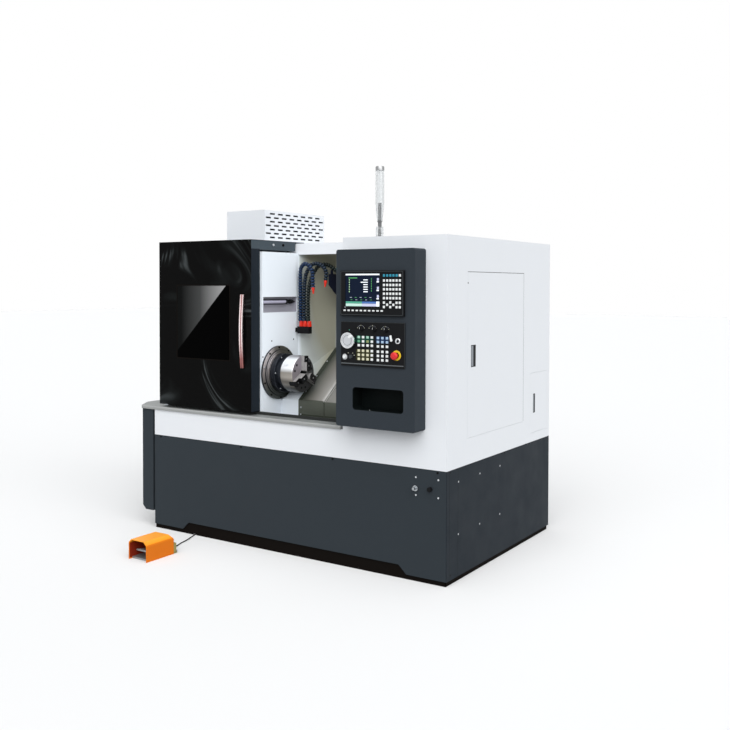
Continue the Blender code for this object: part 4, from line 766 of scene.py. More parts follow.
# Orange enamel stoved on the pedal's pressed hood, deep on its sides; its top is painted lighter and
# yellower, as light from above.
PEDAL_ORANGE = PaintedLightCoat(
    "stove_enamel_orange", "#e47a10", 0.42, specular=0.2, grain_mm=1.2, grain_depth_mm=0.020, soften_mm=1.0,
    stops=((0.0, "#df7510"), (0.30, "#e88012"), (0.50, "#f99a28"), (1.0, "#fba53a")),
    start=(0.0, 0.0, 0.051), reach=(0.0, 0.0, 33.0)
)
# The hood's inside: the same enamel, painted darker and redder as shade.
PEDAL_SHADE = Finish("orange_enamel_painted_shade", "#8e2a16", 0.65, specular=0.1, cloud_mm=40.0, cloud_share=0.2)
# Yellow-passivated steel of the terminal block behind the hood: olive-gold, blotched.
PEDAL_BLOCK = Finish(
    "steel_zinc_yellow_passivated", "#a59a5c", 0.45, metallic=0.3, cloud_mm=20.0, cloud_share=0.2
)
# Aluminium die casting of the pedal's base and treadle: grainy and half bright.
PEDAL_CAST = Finish(
    "aluminium_die_cast_grey", "#9a9c9e", 0.45, metallic=0.7, grain_mm=0.8, grain_depth_mm=0.03,
    cloud_share=0.15, cloud_mm=20.0
)
# Frosted tube of the work lamp: pale lavender, with no bright spot.
LAMP_FROST = Lit("polycarbonate_tube_frosted", "#b4b3c6", 0.45, specular=0.2, glow=0.04)
# White coat inside the lamp's recess, painted lavender grey as its own shade.
RECESS = Finish("baked_powder_coat_white_painted_shade", "#a9a8b2", 0.45, specular=0.15)
# The control box's shelf inside, painted near black as shade where no light falls.
SHELF_DARK = Finish("polyester_powder_coat_painted_shade_black", "#0a0f0f", 0.60, specular=0.05)
# Clear lens of the signal lamp: little more than its edges show.
LENS = ClearMoulding("polycarbonate_lens_clear", "#f3f5f6", 0.04, specular=0.2, cloud_mm=30.0, through=0.92)
# Grey core of the signal lamp, a tube of lamp carriers: even and half matt.
LAMP_CORE = Finish("abs_moulded_mid_grey", "#6b6c6d", 0.5, specular=0.2)
# Satin stainless of its cap, drawn along its length.
POST_STEEL = Finish(
    "stainless_tube_satin", "#9a9b9c", 0.26, metallic=1.0, grain_mm=0.4, grain_depth_mm=0.006,
    stretch=(1.0, 1.0, 0.05)
)
# Nickel plate on the brass air fitting: warm grey and bright.
NICKEL = Finish("brass_nickel_plated", "#a9adb1", 0.24, metallic=1.0, cloud_mm=10.0, cloud_share=0.15)


def about(centre: float, half: float) -> Span:
    """The range of this half width about a centre."""
    return (centre - half, centre + half)


def grown(span: Span, by: float) -> Span:
    """A (low, high) pair widened by `by` at both ends; a negative value narrows it."""
    return (span[0] - by, span[1] + by)


def shape_of(vertices: Iterable[Sequence[float]], faces: Iterable[Sequence[int]]) -> Shape:
    """Builds a closed shape.

    Args:
        vertices: Its points.
        faces: The points of each face, by number.

    Returns:
        The shape, its normals facing out.
    """
    shape = bmesh.new()
    points = [shape.verts.new(v) for v in vertices]
    for face in faces:
        shape.faces.new([points[i] for i in face])
    bmesh.ops.recalc_face_normals(shape, faces=shape.faces)
    return shape


def prism(outline: Outline, along: Axis, span: Span, edge: float = 0.0, steps: int = 2) -> Shape:
    """A straight bar.

    Args:
        outline: The section, in the plane across the axis.
        along: The axis that the bar runs along.
        span: Where it starts and ends.
        edge: Radius of its edges.
        steps: Faces in each rounded edge.

    Returns:
        The bar.
    """
    count = len(outline)
    vertices = [along.place(a, b, t) for t in span for a, b in outline]
    sides = [(i, (i + 1) % count, count + (i + 1) % count, count + i) for i in range(count)]
    shape = shape_of(vertices, [*sides, tuple(range(count)), tuple(range(count, 2 * count))])
    if edge:
        bmesh.ops.bevel(
            shape, geom=shape.edges[:], offset=edge, segments=steps, profile=0.5, affect="EDGES",
            clamp_overlap=True
        )
    return shape


def block(x: Span, y: Span, z: Span, edge: float = 0.0, steps: int = 2) -> Shape:
    """A rectangular block with rounded edges, from three (low, high) pairs."""
    return prism([(x[0], y[0]), (x[1], y[0]), (x[1], y[1]), (x[0], y[1])], Axis.Z, z, edge, steps)


def rounded_outline(a: Span, b: Span, radius: float, steps: int = 6) -> list[tuple[float, float]]:
    """The outline of a rectangle with rounded corners.

    Args:
        a: Range of the outline's first number.
        b: Range of its second number.
        radius: The corners' radius.
        steps: Edges along each corner.

    Returns:
        Its points, anticlockwise.
    """
    points = []
    for k, (u, v) in enumerate(((a[1], b[1]), (a[0], b[1]), (a[0], b[0]), (a[1], b[0]))):
        middle = (u - radius if k in (0, 3) else u + radius, v - radius if k in (0, 1) else v + radius)
        for i in range(steps + 1):
            turn = math.pi / 2 * (k + i / steps)
            points.append((middle[0] + radius * math.cos(turn), middle[1] + radius * math.sin(turn)))
    return points


def turned(profile: Outline, base: Point, along: Point, sides: int = 32) -> Shape:
    """A turned solid.

    Args:
        profile: (distance along the axis, radius) pairs; one that never reaches radius
            zero is a ring, whose last point joins its first.
        base: Where distance zero lies.
        along: The axis direction.
        sides: Faces around it.

    Returns:
        The solid.
    """
    axis = Vector(along).normalized()
    across = Vector((0, 0, 1)) if abs(axis.z) < 0.5 else Vector((1, 0, 0))
    over = axis.cross(across)
    vertices: list[Vector] = []
    rings: list[list[int]] = []
    for distance, radius in profile:
        middle = Vector(base) + axis * distance
        if radius == 0:
            rings.append([len(vertices)])
            vertices.append(middle)
            continue
        rings.append(list(range(len(vertices), len(vertices) + sides)))
        for i in range(sides):
            turn = 2 * math.pi * i / sides
            vertices.append(middle + (across * math.cos(turn) + over * math.sin(turn)) * radius)
    pairs = list(zip(rings, rings[1:]))
    if len(rings[0]) > 1 and len(rings[-1]) > 1:
        pairs.append((rings[-1], rings[0]))
    faces: list[tuple[int, ...]] = []
    for a, b in pairs:
        for i in range(sides):
            j = (i + 1) % sides
            if len(a) > 1 and len(b) > 1:
                faces.append((a[i], a[j], b[j], b[i]))
            elif len(a) > 1:
                faces.append((a[i], a[j], b[0]))
            elif len(b) > 1:
                faces.append((a[0], b[j], b[i]))
    return shape_of(vertices, faces)


def disc(at: Point, along: Point, radius: float, height: float, sides: int = 16) -> Shape:
    """A plain disc or short rod standing at `at` and facing along."""
    return turned([(0, 0), (0, radius), (height, radius), (height, 0)], at, along, sides)


def rod(start: Point, end: Point, radius: float, sides: int = 16) -> Shape:
    """A plain round rod between two points."""
    leg = Vector(end) - Vector(start)
    return disc(start, tuple(leg), radius, leg.length, sides)


def swept(path: Sequence[Vector], radii: Sequence[float], sides: int = 16) -> Shape:
    """A tube of changing radius along a path, closed at both ends.

    Args:
        path: Points of the middle line.
        radii: The tube's radius at each of them.
        sides: Faces around it.

    Returns:
        The shape.
    """
    across = Vector((0, 1, 0))
    vertices: list[Vector] = []
    faces: list[tuple[int, ...]] = []
    for i, point in enumerate(path):
        ahead = (path[min(i + 1, len(path) - 1)] - path[max(i - 1, 0)]).normalized()
        across = (across - ahead * across.dot(ahead)).normalized()
        over = ahead.cross(across)
        for k in range(sides):
            turn = 2 * math.pi * k / sides
            vertices.append(point + (across * math.cos(turn) + over * math.sin(turn)) * radii[i])
        if i:
            low, high = (i - 1) * sides, i * sides
            faces += [
                (low + k, low + (k + 1) % sides, high + (k + 1) % sides, high + k)
                for k in range(sides)
            ]
    faces.append(tuple(range(sides)))
    faces.append(tuple(range(len(vertices) - sides, len(vertices))))
    return shape_of(vertices, faces)


def smooth_path(points: Sequence[Sequence[float]], step: float) -> list[Vector]:
    """A curve that passes smoothly through given points.

    Args:
        points: The points.
        step: The wished distance between the curve's points.

    Returns:
        The curve's points, evenly spaced.
    """
    given = [Vector(p) for p in points]
    ends = [2 * given[0] - given[1], *given, 2 * given[-1] - given[-2]]
    dense = []
    for a, b, c, d in zip(ends, ends[1:], ends[2:], ends[3:]):
        for i in range(16):
            t = i / 16
            slope, bend, twist = c - a, 2 * a - 5 * b + 4 * c - d, 3 * b - a - 3 * c + d
            dense.append((2 * b + slope * t + bend * t * t + twist * t**3) / 2)
    dense.append(given[-1])
    length = sum((b - a).length for a, b in zip(dense, dense[1:]))
    count = max(2, round(length / step))
    path, gone, index = [dense[0]], 0.0, 0
    while len(path) < count:
        target = length / count * len(path)
        while gone + (dense[index + 1] - dense[index]).length < target:
            gone += (dense[index + 1] - dense[index]).length
            index += 1
        leg = dense[index + 1] - dense[index]
        path.append(dense[index] + leg * ((target - gone) / leg.length))
    return [*path, dense[-1]]


def joined(operation: str, shape: Shape, others: Sequence[Shape]) -> Shape:
    """Runs an exact Boolean of a shape with each of the others, which are used up.

    Args:
        operation: The Boolean's kind, such as DIFFERENCE.
        shape: The shape to work on.
        others: The shapes it is cut or joined with.

    Returns:
        The outcome, as one shape.
    """

    def as_object(part: Shape) -> bpy.types.Object:
        """A blank object with the part as its mesh."""
        mesh = bpy.data.meshes.new("blank")
        part.to_mesh(mesh)
        part.free()
        return placed("blank", mesh)

    item = as_object(shape)
    cutters = [as_object(other) for other in others]
    for cutter in cutters:
        modifier = item.modifiers.new("cut", "BOOLEAN")
        modifier.operation, modifier.solver, modifier.object = operation, "EXACT", cutter
    bpy.context.view_layer.update()
    mesh = bpy.data.meshes.new_from_object(item.evaluated_get(bpy.context.evaluated_depsgraph_get()))
    result = bmesh.new()
    result.from_mesh(mesh)
    for old in (item, *cutters):
        old_mesh = old.data
        bpy.data.objects.remove(old)
        bpy.data.meshes.remove(old_mesh)
    bpy.data.meshes.remove(mesh)
    return result


class Piece:
    """One visible piece of the machine, made of shapes that each have a finish."""

    def __init__(self, name: str, slot: str, finish: Finish, body: str = "machine") -> None:
        """Starts an empty piece.

        Args:
            name: The piece's name.
            slot: The record's material slot that it stands under; not used.
            finish: The finish of the shapes that come first.
            body: The body that it moves with.
        """
        self.name, self.slot, self.body = name, slot, body
        self.shape: Shape = bmesh.new()
        self.finishes = [finish]
        self.current = 0

    def use(self, finish: Finish) -> "Piece":
        """Gives a finish to the shapes that follow.

        Args:
            finish: The finish.

        Returns:
            The piece itself.
        """
        if finish not in self.finishes:
            self.finishes.append(finish)
        self.current = self.finishes.index(finish)
        return self

    def add(self, *shapes: Shape, turn: Matrix | None = None) -> "Piece":
        """Takes shapes into the piece.

        Args:
            shapes: The shapes, which are used up.
            turn: Carries them first, if given.

        Returns:
            The piece itself.
        """
        for shape in shapes:
            if turn is not None:
                bmesh.ops.transform(shape, matrix=turn, verts=shape.verts)
            for face in shape.faces:
                face.material_index = self.current
            carrier = bpy.data.meshes.new("carrier")
            shape.to_mesh(carrier)
            shape.free()
            self.shape.from_mesh(carrier)
            bpy.data.meshes.remove(carrier)
        return self

    def done(self, *replaced: str) -> bpy.types.Object:
        """Makes the piece's object and fits it to its body.

        Args:
            *replaced: The solids that it stands for.

        Returns:
            The object.
        """
        for edge in self.shape.edges:
            edge.smooth = len(edge.link_faces) == 2 and edge.calc_face_angle(0.0) < SMOOTH_LIMIT
        for face in self.shape.faces:
            face.smooth = True
        bmesh.ops.translate(self.shape, vec=FLOOR_SHIFT, verts=self.shape.verts)
        mesh = bpy.data.meshes.new(self.name)
        self.shape.to_mesh(mesh)
        self.shape.free()
        for finish in self.finishes:
            mesh.materials.append(finish.material())
        item = placed(self.name, mesh)
        item.modifiers.new("even_shading", "WEIGHTED_NORMAL").keep_sharp = True
        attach(item, self.body)
        if replaced:
            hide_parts(*replaced)
        return item


def cap_screw(at: Point, along: Point, radius: float, height: float, sides: int = 14) -> Shape:
    """A screw head with a socket in it.

    Args:
        at: The point of the surface that it stands on.
        along: The direction it faces.
        radius: Its radius.
        height: Its height.
        sides: Faces around it.

    Returns:
        The shape.
    """
    socket = radius * 0.5
    profile = [
        (0, 0), (0, radius), (height * 0.75, radius), (height, radius * 0.86), (height, socket),
        (height * 0.45, socket), (height * 0.45, 0)
    ]
    return turned(profile, at, along, sides)


def dress_nodes(finishes: dict[str, Finish]) -> None:
    """Gives a finish to solids that show as they are.

    Args:
        finishes: The finish of each, by node name.
    """
    for name, finish in finishes.items():
        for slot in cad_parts[name].material_slots:
            slot.material = finish.material()


@dataclass
class Studio:
    """The camera, the pale floor, the backdrop and the soft lamps.

    Attributes:
        camera_at: The camera's place in the frame of the solids.
        camera_turn: Its rotation.
        lens_mm: Its focal length on a 36 mm sensor.
        shift: Its shift, as shares of the frame's width.
        floor_half: Half the side of the floor.
        suns: Name, turn in degrees, strength and spread in degrees of each soft lamp.
        lamp_at: Where the machine's own lamp shines from.
        lamp_power: Its power in watts.
        fill: Strength of the even light of the room.
        floor_paint: Tone of the floor as the camera sees it.
        floor_bounce: Tone of the floor as it lights the machine.
        floor_lift: Glow that keeps the seen floor white.
    """

    camera_at: Point = (3.0335, -4.0675, 1.4034)
    camera_turn: Point = (math.pi / 2 - 0.0236, -0.0021, 0.5825)
    lens_mm: float = 44.7
    shift: tuple[float, float] = (-0.0011, -0.0788)
    floor_half: float = 40.0
    suns: tuple[tuple[str, Point, float, float], ...] = (
        ("front_softbox", (50.0, 0.0, 20.0), 1.80, 60.0), ("right_softbox", (60.0, 0.0, 65.0), 1.60, 60.0),
        ("top_softbox", (8.0, 0.0, 0.0), 0.45, 60.0)
    )
    lamp_at: Point = (0.383, -0.266, 1.174)
    lamp_power: float = 1.0
    fill: float = 0.42
    floor_paint: float = 0.80
    floor_bounce: float = 0.40
    floor_lift: float = 0.06

    def set_camera(self) -> None:
        """Makes the camera that the photograph was taken with."""
        data = bpy.data.cameras.new("camera")
        data.lens, data.sensor_width = self.lens_mm, 36.0
        data.shift_x, data.shift_y = self.shift
        data.clip_end = 200.0
        camera = placed("camera", data)
        camera.location, camera.rotation_euler = self.camera_at, self.camera_turn
        bpy.context.scene.camera = camera

    def lay_floor(self) -> None:
        """Lays a floor that looks white and keeps the machine's shadow."""
        half = self.floor_half
        mesh = bpy.data.meshes.new("floor")
        mesh.from_pydata(
            [(-half, -half, 0), (half, -half, 0), (half, half, 0), (-half, half, 0)], [], [(0, 1, 2, 3)]
        )
        floor = placed("floor", mesh)
        material = bpy.data.materials.new("studio_floor_painted_white")
        material.use_nodes = True
        tree = material.node_tree
        tree.nodes.remove(tree.nodes["Principled BSDF"])
        paint = add_node(tree, "ShaderNodeBsdfDiffuse", {"Color": (*(self.floor_paint,) * 3, 1.0)})
        lift = add_node(
            tree, "ShaderNodeEmission", {"Color": (1.0, 1.0, 1.0, 1.0), "Strength": self.floor_lift}
        )
        lifted = add_node(tree, "ShaderNodeAddShader", {0: paint.outputs[0], 1: lift.outputs[0]})
        bounce = add_node(tree, "ShaderNodeBsdfDiffuse", {"Color": (*(self.floor_bounce,) * 3, 1.0)})
        mix = add_node(
            tree, "ShaderNodeMixShader",
            {"Fac": self.seen(tree), 1: bounce.outputs[0], 2: lifted.outputs[0]}
        )
        tree.links.new(mix.outputs[0], tree.nodes["Material Output"].inputs["Surface"])
        mesh.materials.append(material)

    @staticmethod
    def seen(tree: Tree) -> Socket:
        """Tells the rays that look from those that light.

        Args:
            tree: The material's or the world's tree.

        Returns:
            The socket: 1 for the camera, a reflection or a look through glass, and 0 for light.
        """
        path = add_node(tree, "ShaderNodeLightPath").outputs
        looks = number(tree, "MAXIMUM", path["Is Camera Ray"], path["Is Glossy Ray"])
        return number(tree, "MAXIMUM", looks, path["Is Transmission Ray"])

    def hang_lights(self) -> None:
        """Hangs the soft lamps and fills the room with even light."""
        scene = bpy.context.scene
        for name, turn, strength, spread in self.suns:
            data = bpy.data.lights.new(name, "SUN")
            data.energy, data.angle = strength, math.radians(spread)
            placed(name, data).rotation_euler = [math.radians(t) for t in turn]
        inner = bpy.data.lights.new("work_area_softbox", "AREA")
        inner.shape, inner.size, inner.size_y, inner.energy = "RECTANGLE", 0.60, 0.22, self.lamp_power
        lamp = placed("work_area_softbox", inner)
        lamp.location, lamp.rotation_euler = self.lamp_at, (0.0, math.radians(90), 0.0)
        lamp.visible_glossy = False
        world = bpy.data.worlds.new("studio")
        scene.world = world
        world.use_nodes = True
        tree = world.node_tree
        tree.nodes.clear()
        lit = add_node(tree, "ShaderNodeBackground", {"Color": (0.94, 0.97, 1.0, 1.0), "Strength": self.fill})
        white = add_node(tree, "ShaderNodeBackground", {"Color": (1.0, 1.0, 1.0, 1.0), "Strength": 1.0})
        mix = add_node(
            tree, "ShaderNodeMixShader", {"Fac": self.seen(tree), 1: lit.outputs[0], 2: white.outputs[0]}
        )
        output = add_node(tree, "ShaderNodeOutputWorld", {"Surface": mix.outputs[0]})
        output.is_active_output = True
        scene.view_settings.view_transform = "Standard"


@dataclass
class FootSwitch:
    """The orange foot switch on the floor, and its cable to the machine."""

    x: Span = (0.341, 0.471)
    y: Span = (-0.507, -0.317)
    height: float = 0.105
    floor: float = -0.024
    skin: float = 0.004
    corner: float = 0.018
    cord_radius: float = 0.003
    cord_route: tuple[Point, ...] = (
        (0.406, -0.2637, 0.0190), (0.4030, -0.2450, 0.0150), (0.3920, -0.2200, 0.0065),
        (0.3800, -0.1920, 0.0034), (0.3670, -0.1600, 0.0032), (0.3500, -0.0980, 0.0032),
        (0.3260, -0.0340, 0.0032), (0.2980, 0.0330, 0.0034), (0.2690, 0.0700, 0.0110),
        (0.2550, 0.0900, 0.0320), (0.2500, 0.0970, 0.0687)
    )

    def run_cord(self) -> None:
        """Runs the cable from the switch along the floor and up under the machine."""
        lifted = [(x, y, z + self.floor) for x, y, z in self.cord_route]
        path = [point + FLOOR_SHIFT for point in smooth_path(lifted, 0.0082)]
        curve = bpy.data.curves.new("pedal_cable", "CURVE")
        curve.dimensions = "3D"
        curve.bevel_depth = self.cord_radius
        curve.bevel_resolution = 4
        curve.use_fill_caps = True
        spline = curve.splines.new("POLY")
        spline.points.add(len(path) - 1)
        for point, place in zip(spline.points, path):
            point.co = (*place, 1)
        curve.materials.append(CABLE_BLACK.material())
        cable = placed("pedal_cable", curve)
        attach(cable, "machine")
        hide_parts("pedal_cord")

    def build(self) -> None:
        """Builds the details on the switch's solids."""
        dress_nodes({
            "pedal_guard": PEDAL_ORANGE, "pedal_base": PEDAL_CAST, "pedal_treadle": PEDAL_CAST,
            "pedal_gland": RUBBER
        })
        self.shade_lining()
        self.ribs()
        self.terminal_block()

    def shade_lining(self) -> None:
        """Lines the inside of the hood with a skin a fraction of a millimetre off its walls, painted darker
        as shade.
        """
        shade_lining = Piece("guard_lining", "orange_enamel", PEDAL_SHADE)
        skin, coat = self.skin + 0.0001, 0.0004
        z0, z1 = self.floor + 0.006, self.floor + self.height - self.skin - 0.0001
        y0, y1 = self.y[0] + 0.003, self.y[1] - 0.040
        a, b = self.x[0] + skin, self.x[1] - skin
        reach = self.corner
        shade_lining.add(
            block((a, a + coat), (y0, y1), (z0, z1 - reach)),
            block((b - coat, b), (y0, y1), (z0, z1 - reach)),
            block((a + reach, b - reach), (y0, y1), (z1 - coat, z1))
        )
        shade_lining.done()

    def terminal_block(self) -> None:
        """Screws the terminal block to the base, behind the hood."""
        terminals = Piece("switch_terminal_block", "orange_enamel", PEDAL_BLOCK)
        near, foot = self.y[1] + 0.0005, self.floor + 0.004
        terminals.add(block((0.4260, 0.4660), (near, self.y[1] + 0.0240), (foot, self.floor + 0.052), 0.002))
        terminals.add(block(
            (0.4220, 0.4690), (near, self.y[1] + 0.0290), (self.floor + 0.0005, foot), 0.0008, 1
        ))
        terminals.done()

    def ribs(self) -> None:
        """Puts the grip ribs on the treadle."""
        ribs = Piece("treadle_ribs", "ground_steel", PEDAL_CAST, "pedal_treadle")
        hinge_y, hinge_z, tread_front = -0.356, self.floor + 0.022, -0.478
        front_rise, hinge_rise, half, count = 0.028, 0.006, 0.0022, 9
        x = grown(self.x, -0.030)
        for k in range(count):
            share = (k + 0.7) / (count + 1)
            y = tread_front + (hinge_y - tread_front) * share
            z = hinge_z + front_rise + (hinge_rise - front_rise) * share
            ribs.add(block(x, about(y, half), (z - 0.002, z + 0.0018), 0.0006, 1))
        ribs.done()


@dataclass
class Enclosure:
    """The painted base, shell and guards, with their seams and screws."""

    width: float = 1.914
    depth: float = 1.239
    skirt_top: float = 0.518
    proud: float = 0.0003
    louvre_x: Span = (0.122, 0.420)
    louvre_y: Span = (0.485, 1.086)
    louvre_z: Span = (1.6203, 1.833)
    slot_first: tuple[float, float] = (0.4968, 1.8127)
    slot_pitch: tuple[float, float] = (0.0758, 0.02352)
    slot_size: tuple[float, float] = (0.0480, 0.0095)
    slot_rows: int = 7

    def build(self) -> None:
        """Dresses the shell's solids and adds what is screwed to them."""
        dress_nodes({
            "base_frame": BLACK_OXIDE, "base_skirt": SLATE, "end_housing": SLATE, "cabinet_shell": WHITE,
            "headstock_guard": GUARD_WHITE, "back_guard": OLIVE, "sill": SHEET_STEEL,
            "chip_pan": SHEET_STEEL, "side_door": WHITE, "rear_hatch": WHITE,
            "side_door_pull": BLACK_MOULDING, "rear_hatch_pull": BLACK_MOULDING, "air_inlet": NICKEL,
            "air_port": BLACK_MOULDING
        })
        self.louvre_box()
        self.shadow_plates()
        self.skirt_screws()
        self.guard_screws()
        self.side_seams()
        self.flush_pulls()

    def louvre_box(self) -> None:
        """The sheet box on the roof, its right side punched with rows of slots, and a black sheet behind them
        as painted shade.
        """
        box = Piece("roof_louvre_box", "white_enamel", WHITE)
        x, y, z = self.louvre_x, self.louvre_y, self.louvre_z
        sheet, shade_sheet_back = 0.002, 0.030
        slots = Piece("slots", "white_enamel", WHITE)
        for row in range(self.slot_rows):
            high = self.slot_first[1] - row * self.slot_pitch[1]
            for k in range(7 + row % 2):
                low = self.slot_first[0] + (k + (1 - row % 2) / 2) * self.slot_pitch[0]
                tall = grown((high, high), self.slot_size[1] / 2)
                slots.add(block(grown((x[1], x[1]), 5 * sheet), (low, low + self.slot_size[0]), tall))
        side = block((x[1] - sheet, x[1]), y, z)
        box.add(joined("DIFFERENCE", side, [slots.shape]))
        inner = (x[0], x[1] - sheet)
        box.add(block(inner, (y[0], y[0] + sheet), z), block(inner, (y[1] - sheet, y[1]), z))
        box.add(block((x[0], x[0] + sheet), grown(y, -sheet), z))
        box.add(block((x[0] + sheet, x[1] - sheet), grown(y, -sheet), (z[1] - sheet, z[1])))
        # A black sheet behind the slots, as painted shade.
        box.use(SEAL_AND_SHADOW_BLACK)
        shade_sheet = (x[1] - shade_sheet_back, x[1] - shade_sheet_back + sheet)
        box.add(block(shade_sheet, grown(y, -2 * sheet), grown(z, -2 * sheet)))
        box.done("louvre_box")

    def shadow_plates(self) -> None:
        """Near-black plates behind the skirt, down to the floor and notched for the cable, that stand as
        painted shadow under the base.
        """
        toe = Piece("base_toe_plates", "slate_enamel", SEAL_AND_SHADOW_BLACK)
        left, back, thick, low, high = 0.0010, 0.0070, 0.0020, -0.0236, 0.0660
        notch, notch_top = (0.2990, 0.3190), -0.0150
        near = (back, back + thick)
        toe.add(
            block((left, notch[0]), near, (low, high)),
            block((notch[1], self.width - back), near, (low, high))
        )
        toe.add(block(notch, near, (notch_top, high)))
        deep, under = (back, self.depth - 0.010), (low, -0.0005)
        toe.add(block((self.width - back - thick, self.width - back), deep, under))
        toe.add(block((left, left + thick), deep, under))
        toe.done()

    def skirt_screws(self) -> None:
        """Sets the screws that hold the skirt's sheets."""
        black = Piece("skirt_screws_black", "slate_enamel", SCREW_BLACK)
        for x, z in ((0.050, 0.510), (0.658, 0.510), (1.265, 0.510), (1.866, 0.508)):
            black.add(cap_screw((x, 0.0, z), (0, -1, 0), 0.0055, 0.003))
        for y, z in ((0.035, 0.5085), (0.633, 0.5100), (0.040, 0.0240)):
            black.add(cap_screw((self.width, y, z), (1, 0, 0), 0.0050, self.proud))
        black.done()
        zinc = Piece("skirt_screws_zinc", "slate_enamel", SCREW_ZINC)
        for x, z in ((1.749, 0.475), (1.870, 0.475), (1.749, 0.390), (1.870, 0.390)):
            zinc.add(cap_screw((x, 0.0, z), (0, -1, 0), 0.0045, 0.002))
        for y in (0.118, 0.346, 0.579):
            for z in (0.452, 0.2015):
                zinc.add(cap_screw((self.width, y, z), (1, 0, 0), 0.0045, self.proud))
        zinc.done()

    def guard_screws(self) -> None:
        """Sets the small screws of the wall in front of the spindle."""
        screws = Piece("guard_screws", "white_enamel", SCREW_BLACK)
        wall = 0.7400
        for y, z in ((0.1598, 1.0776), (0.3527, 1.0778), (0.4200, 0.9960), (0.0850, 0.9940)):
            screws.add(disc((wall, y, z), (1, 0, 0), 0.0042, 0.0006, 12))
        screws.done()

    def side_seams(self) -> None:
        """Draws the sheet joints of the right side as fine shadow lines."""
        seams = Piece("side_seams", "slate_enamel", SCREW_BLACK)
        line = 0.0012
        face = (self.width, self.width + self.proud / 2)
        for y in (0.0275, 0.1134):
            seams.add(block(face, (y, y + line), (0.0, self.skirt_top)))
        seams.add(block(face, (0.0, self.depth), (self.skirt_top - line, self.skirt_top)))
        seams.add(
            block(face, (0.204, 0.872), (1.4487, 1.4507)), block(face, (0.8695, 0.8710), (0.648, 1.4487))
        )
        seams.add(disc((self.width, 0.2085, 1.3958), (1, 0, 0), 0.0042, self.proud, 16))
        seams.done()

    def flush_pulls(self) -> None:
        """Fits the finger flap of each flush pull, as a grey half and a black half."""
        for name, y, z in (
            ("side_door", (0.242, 0.294), (0.987, 1.094)), ("rear_hatch", (1.006, 1.034), (0.677, 0.783))
        ):
            pull = Piece(f"{name}_flap", "black_plastic", INK_GREY, name)
            face = self.width
            middle = sum(y) / 2
            pull.add(block(
                (face - 0.003, face + self.proud / 2), (y[0] + 0.004, middle), grown(z, -0.004), 0.001, 2
            ))
            pull.use(BLACK_MOULDING)
            pull.add(block(
                (face - 0.003, face + self.proud), (middle, y[1] - 0.004), grown(z, -0.004), 0.001, 2
            ))
            pull.done()


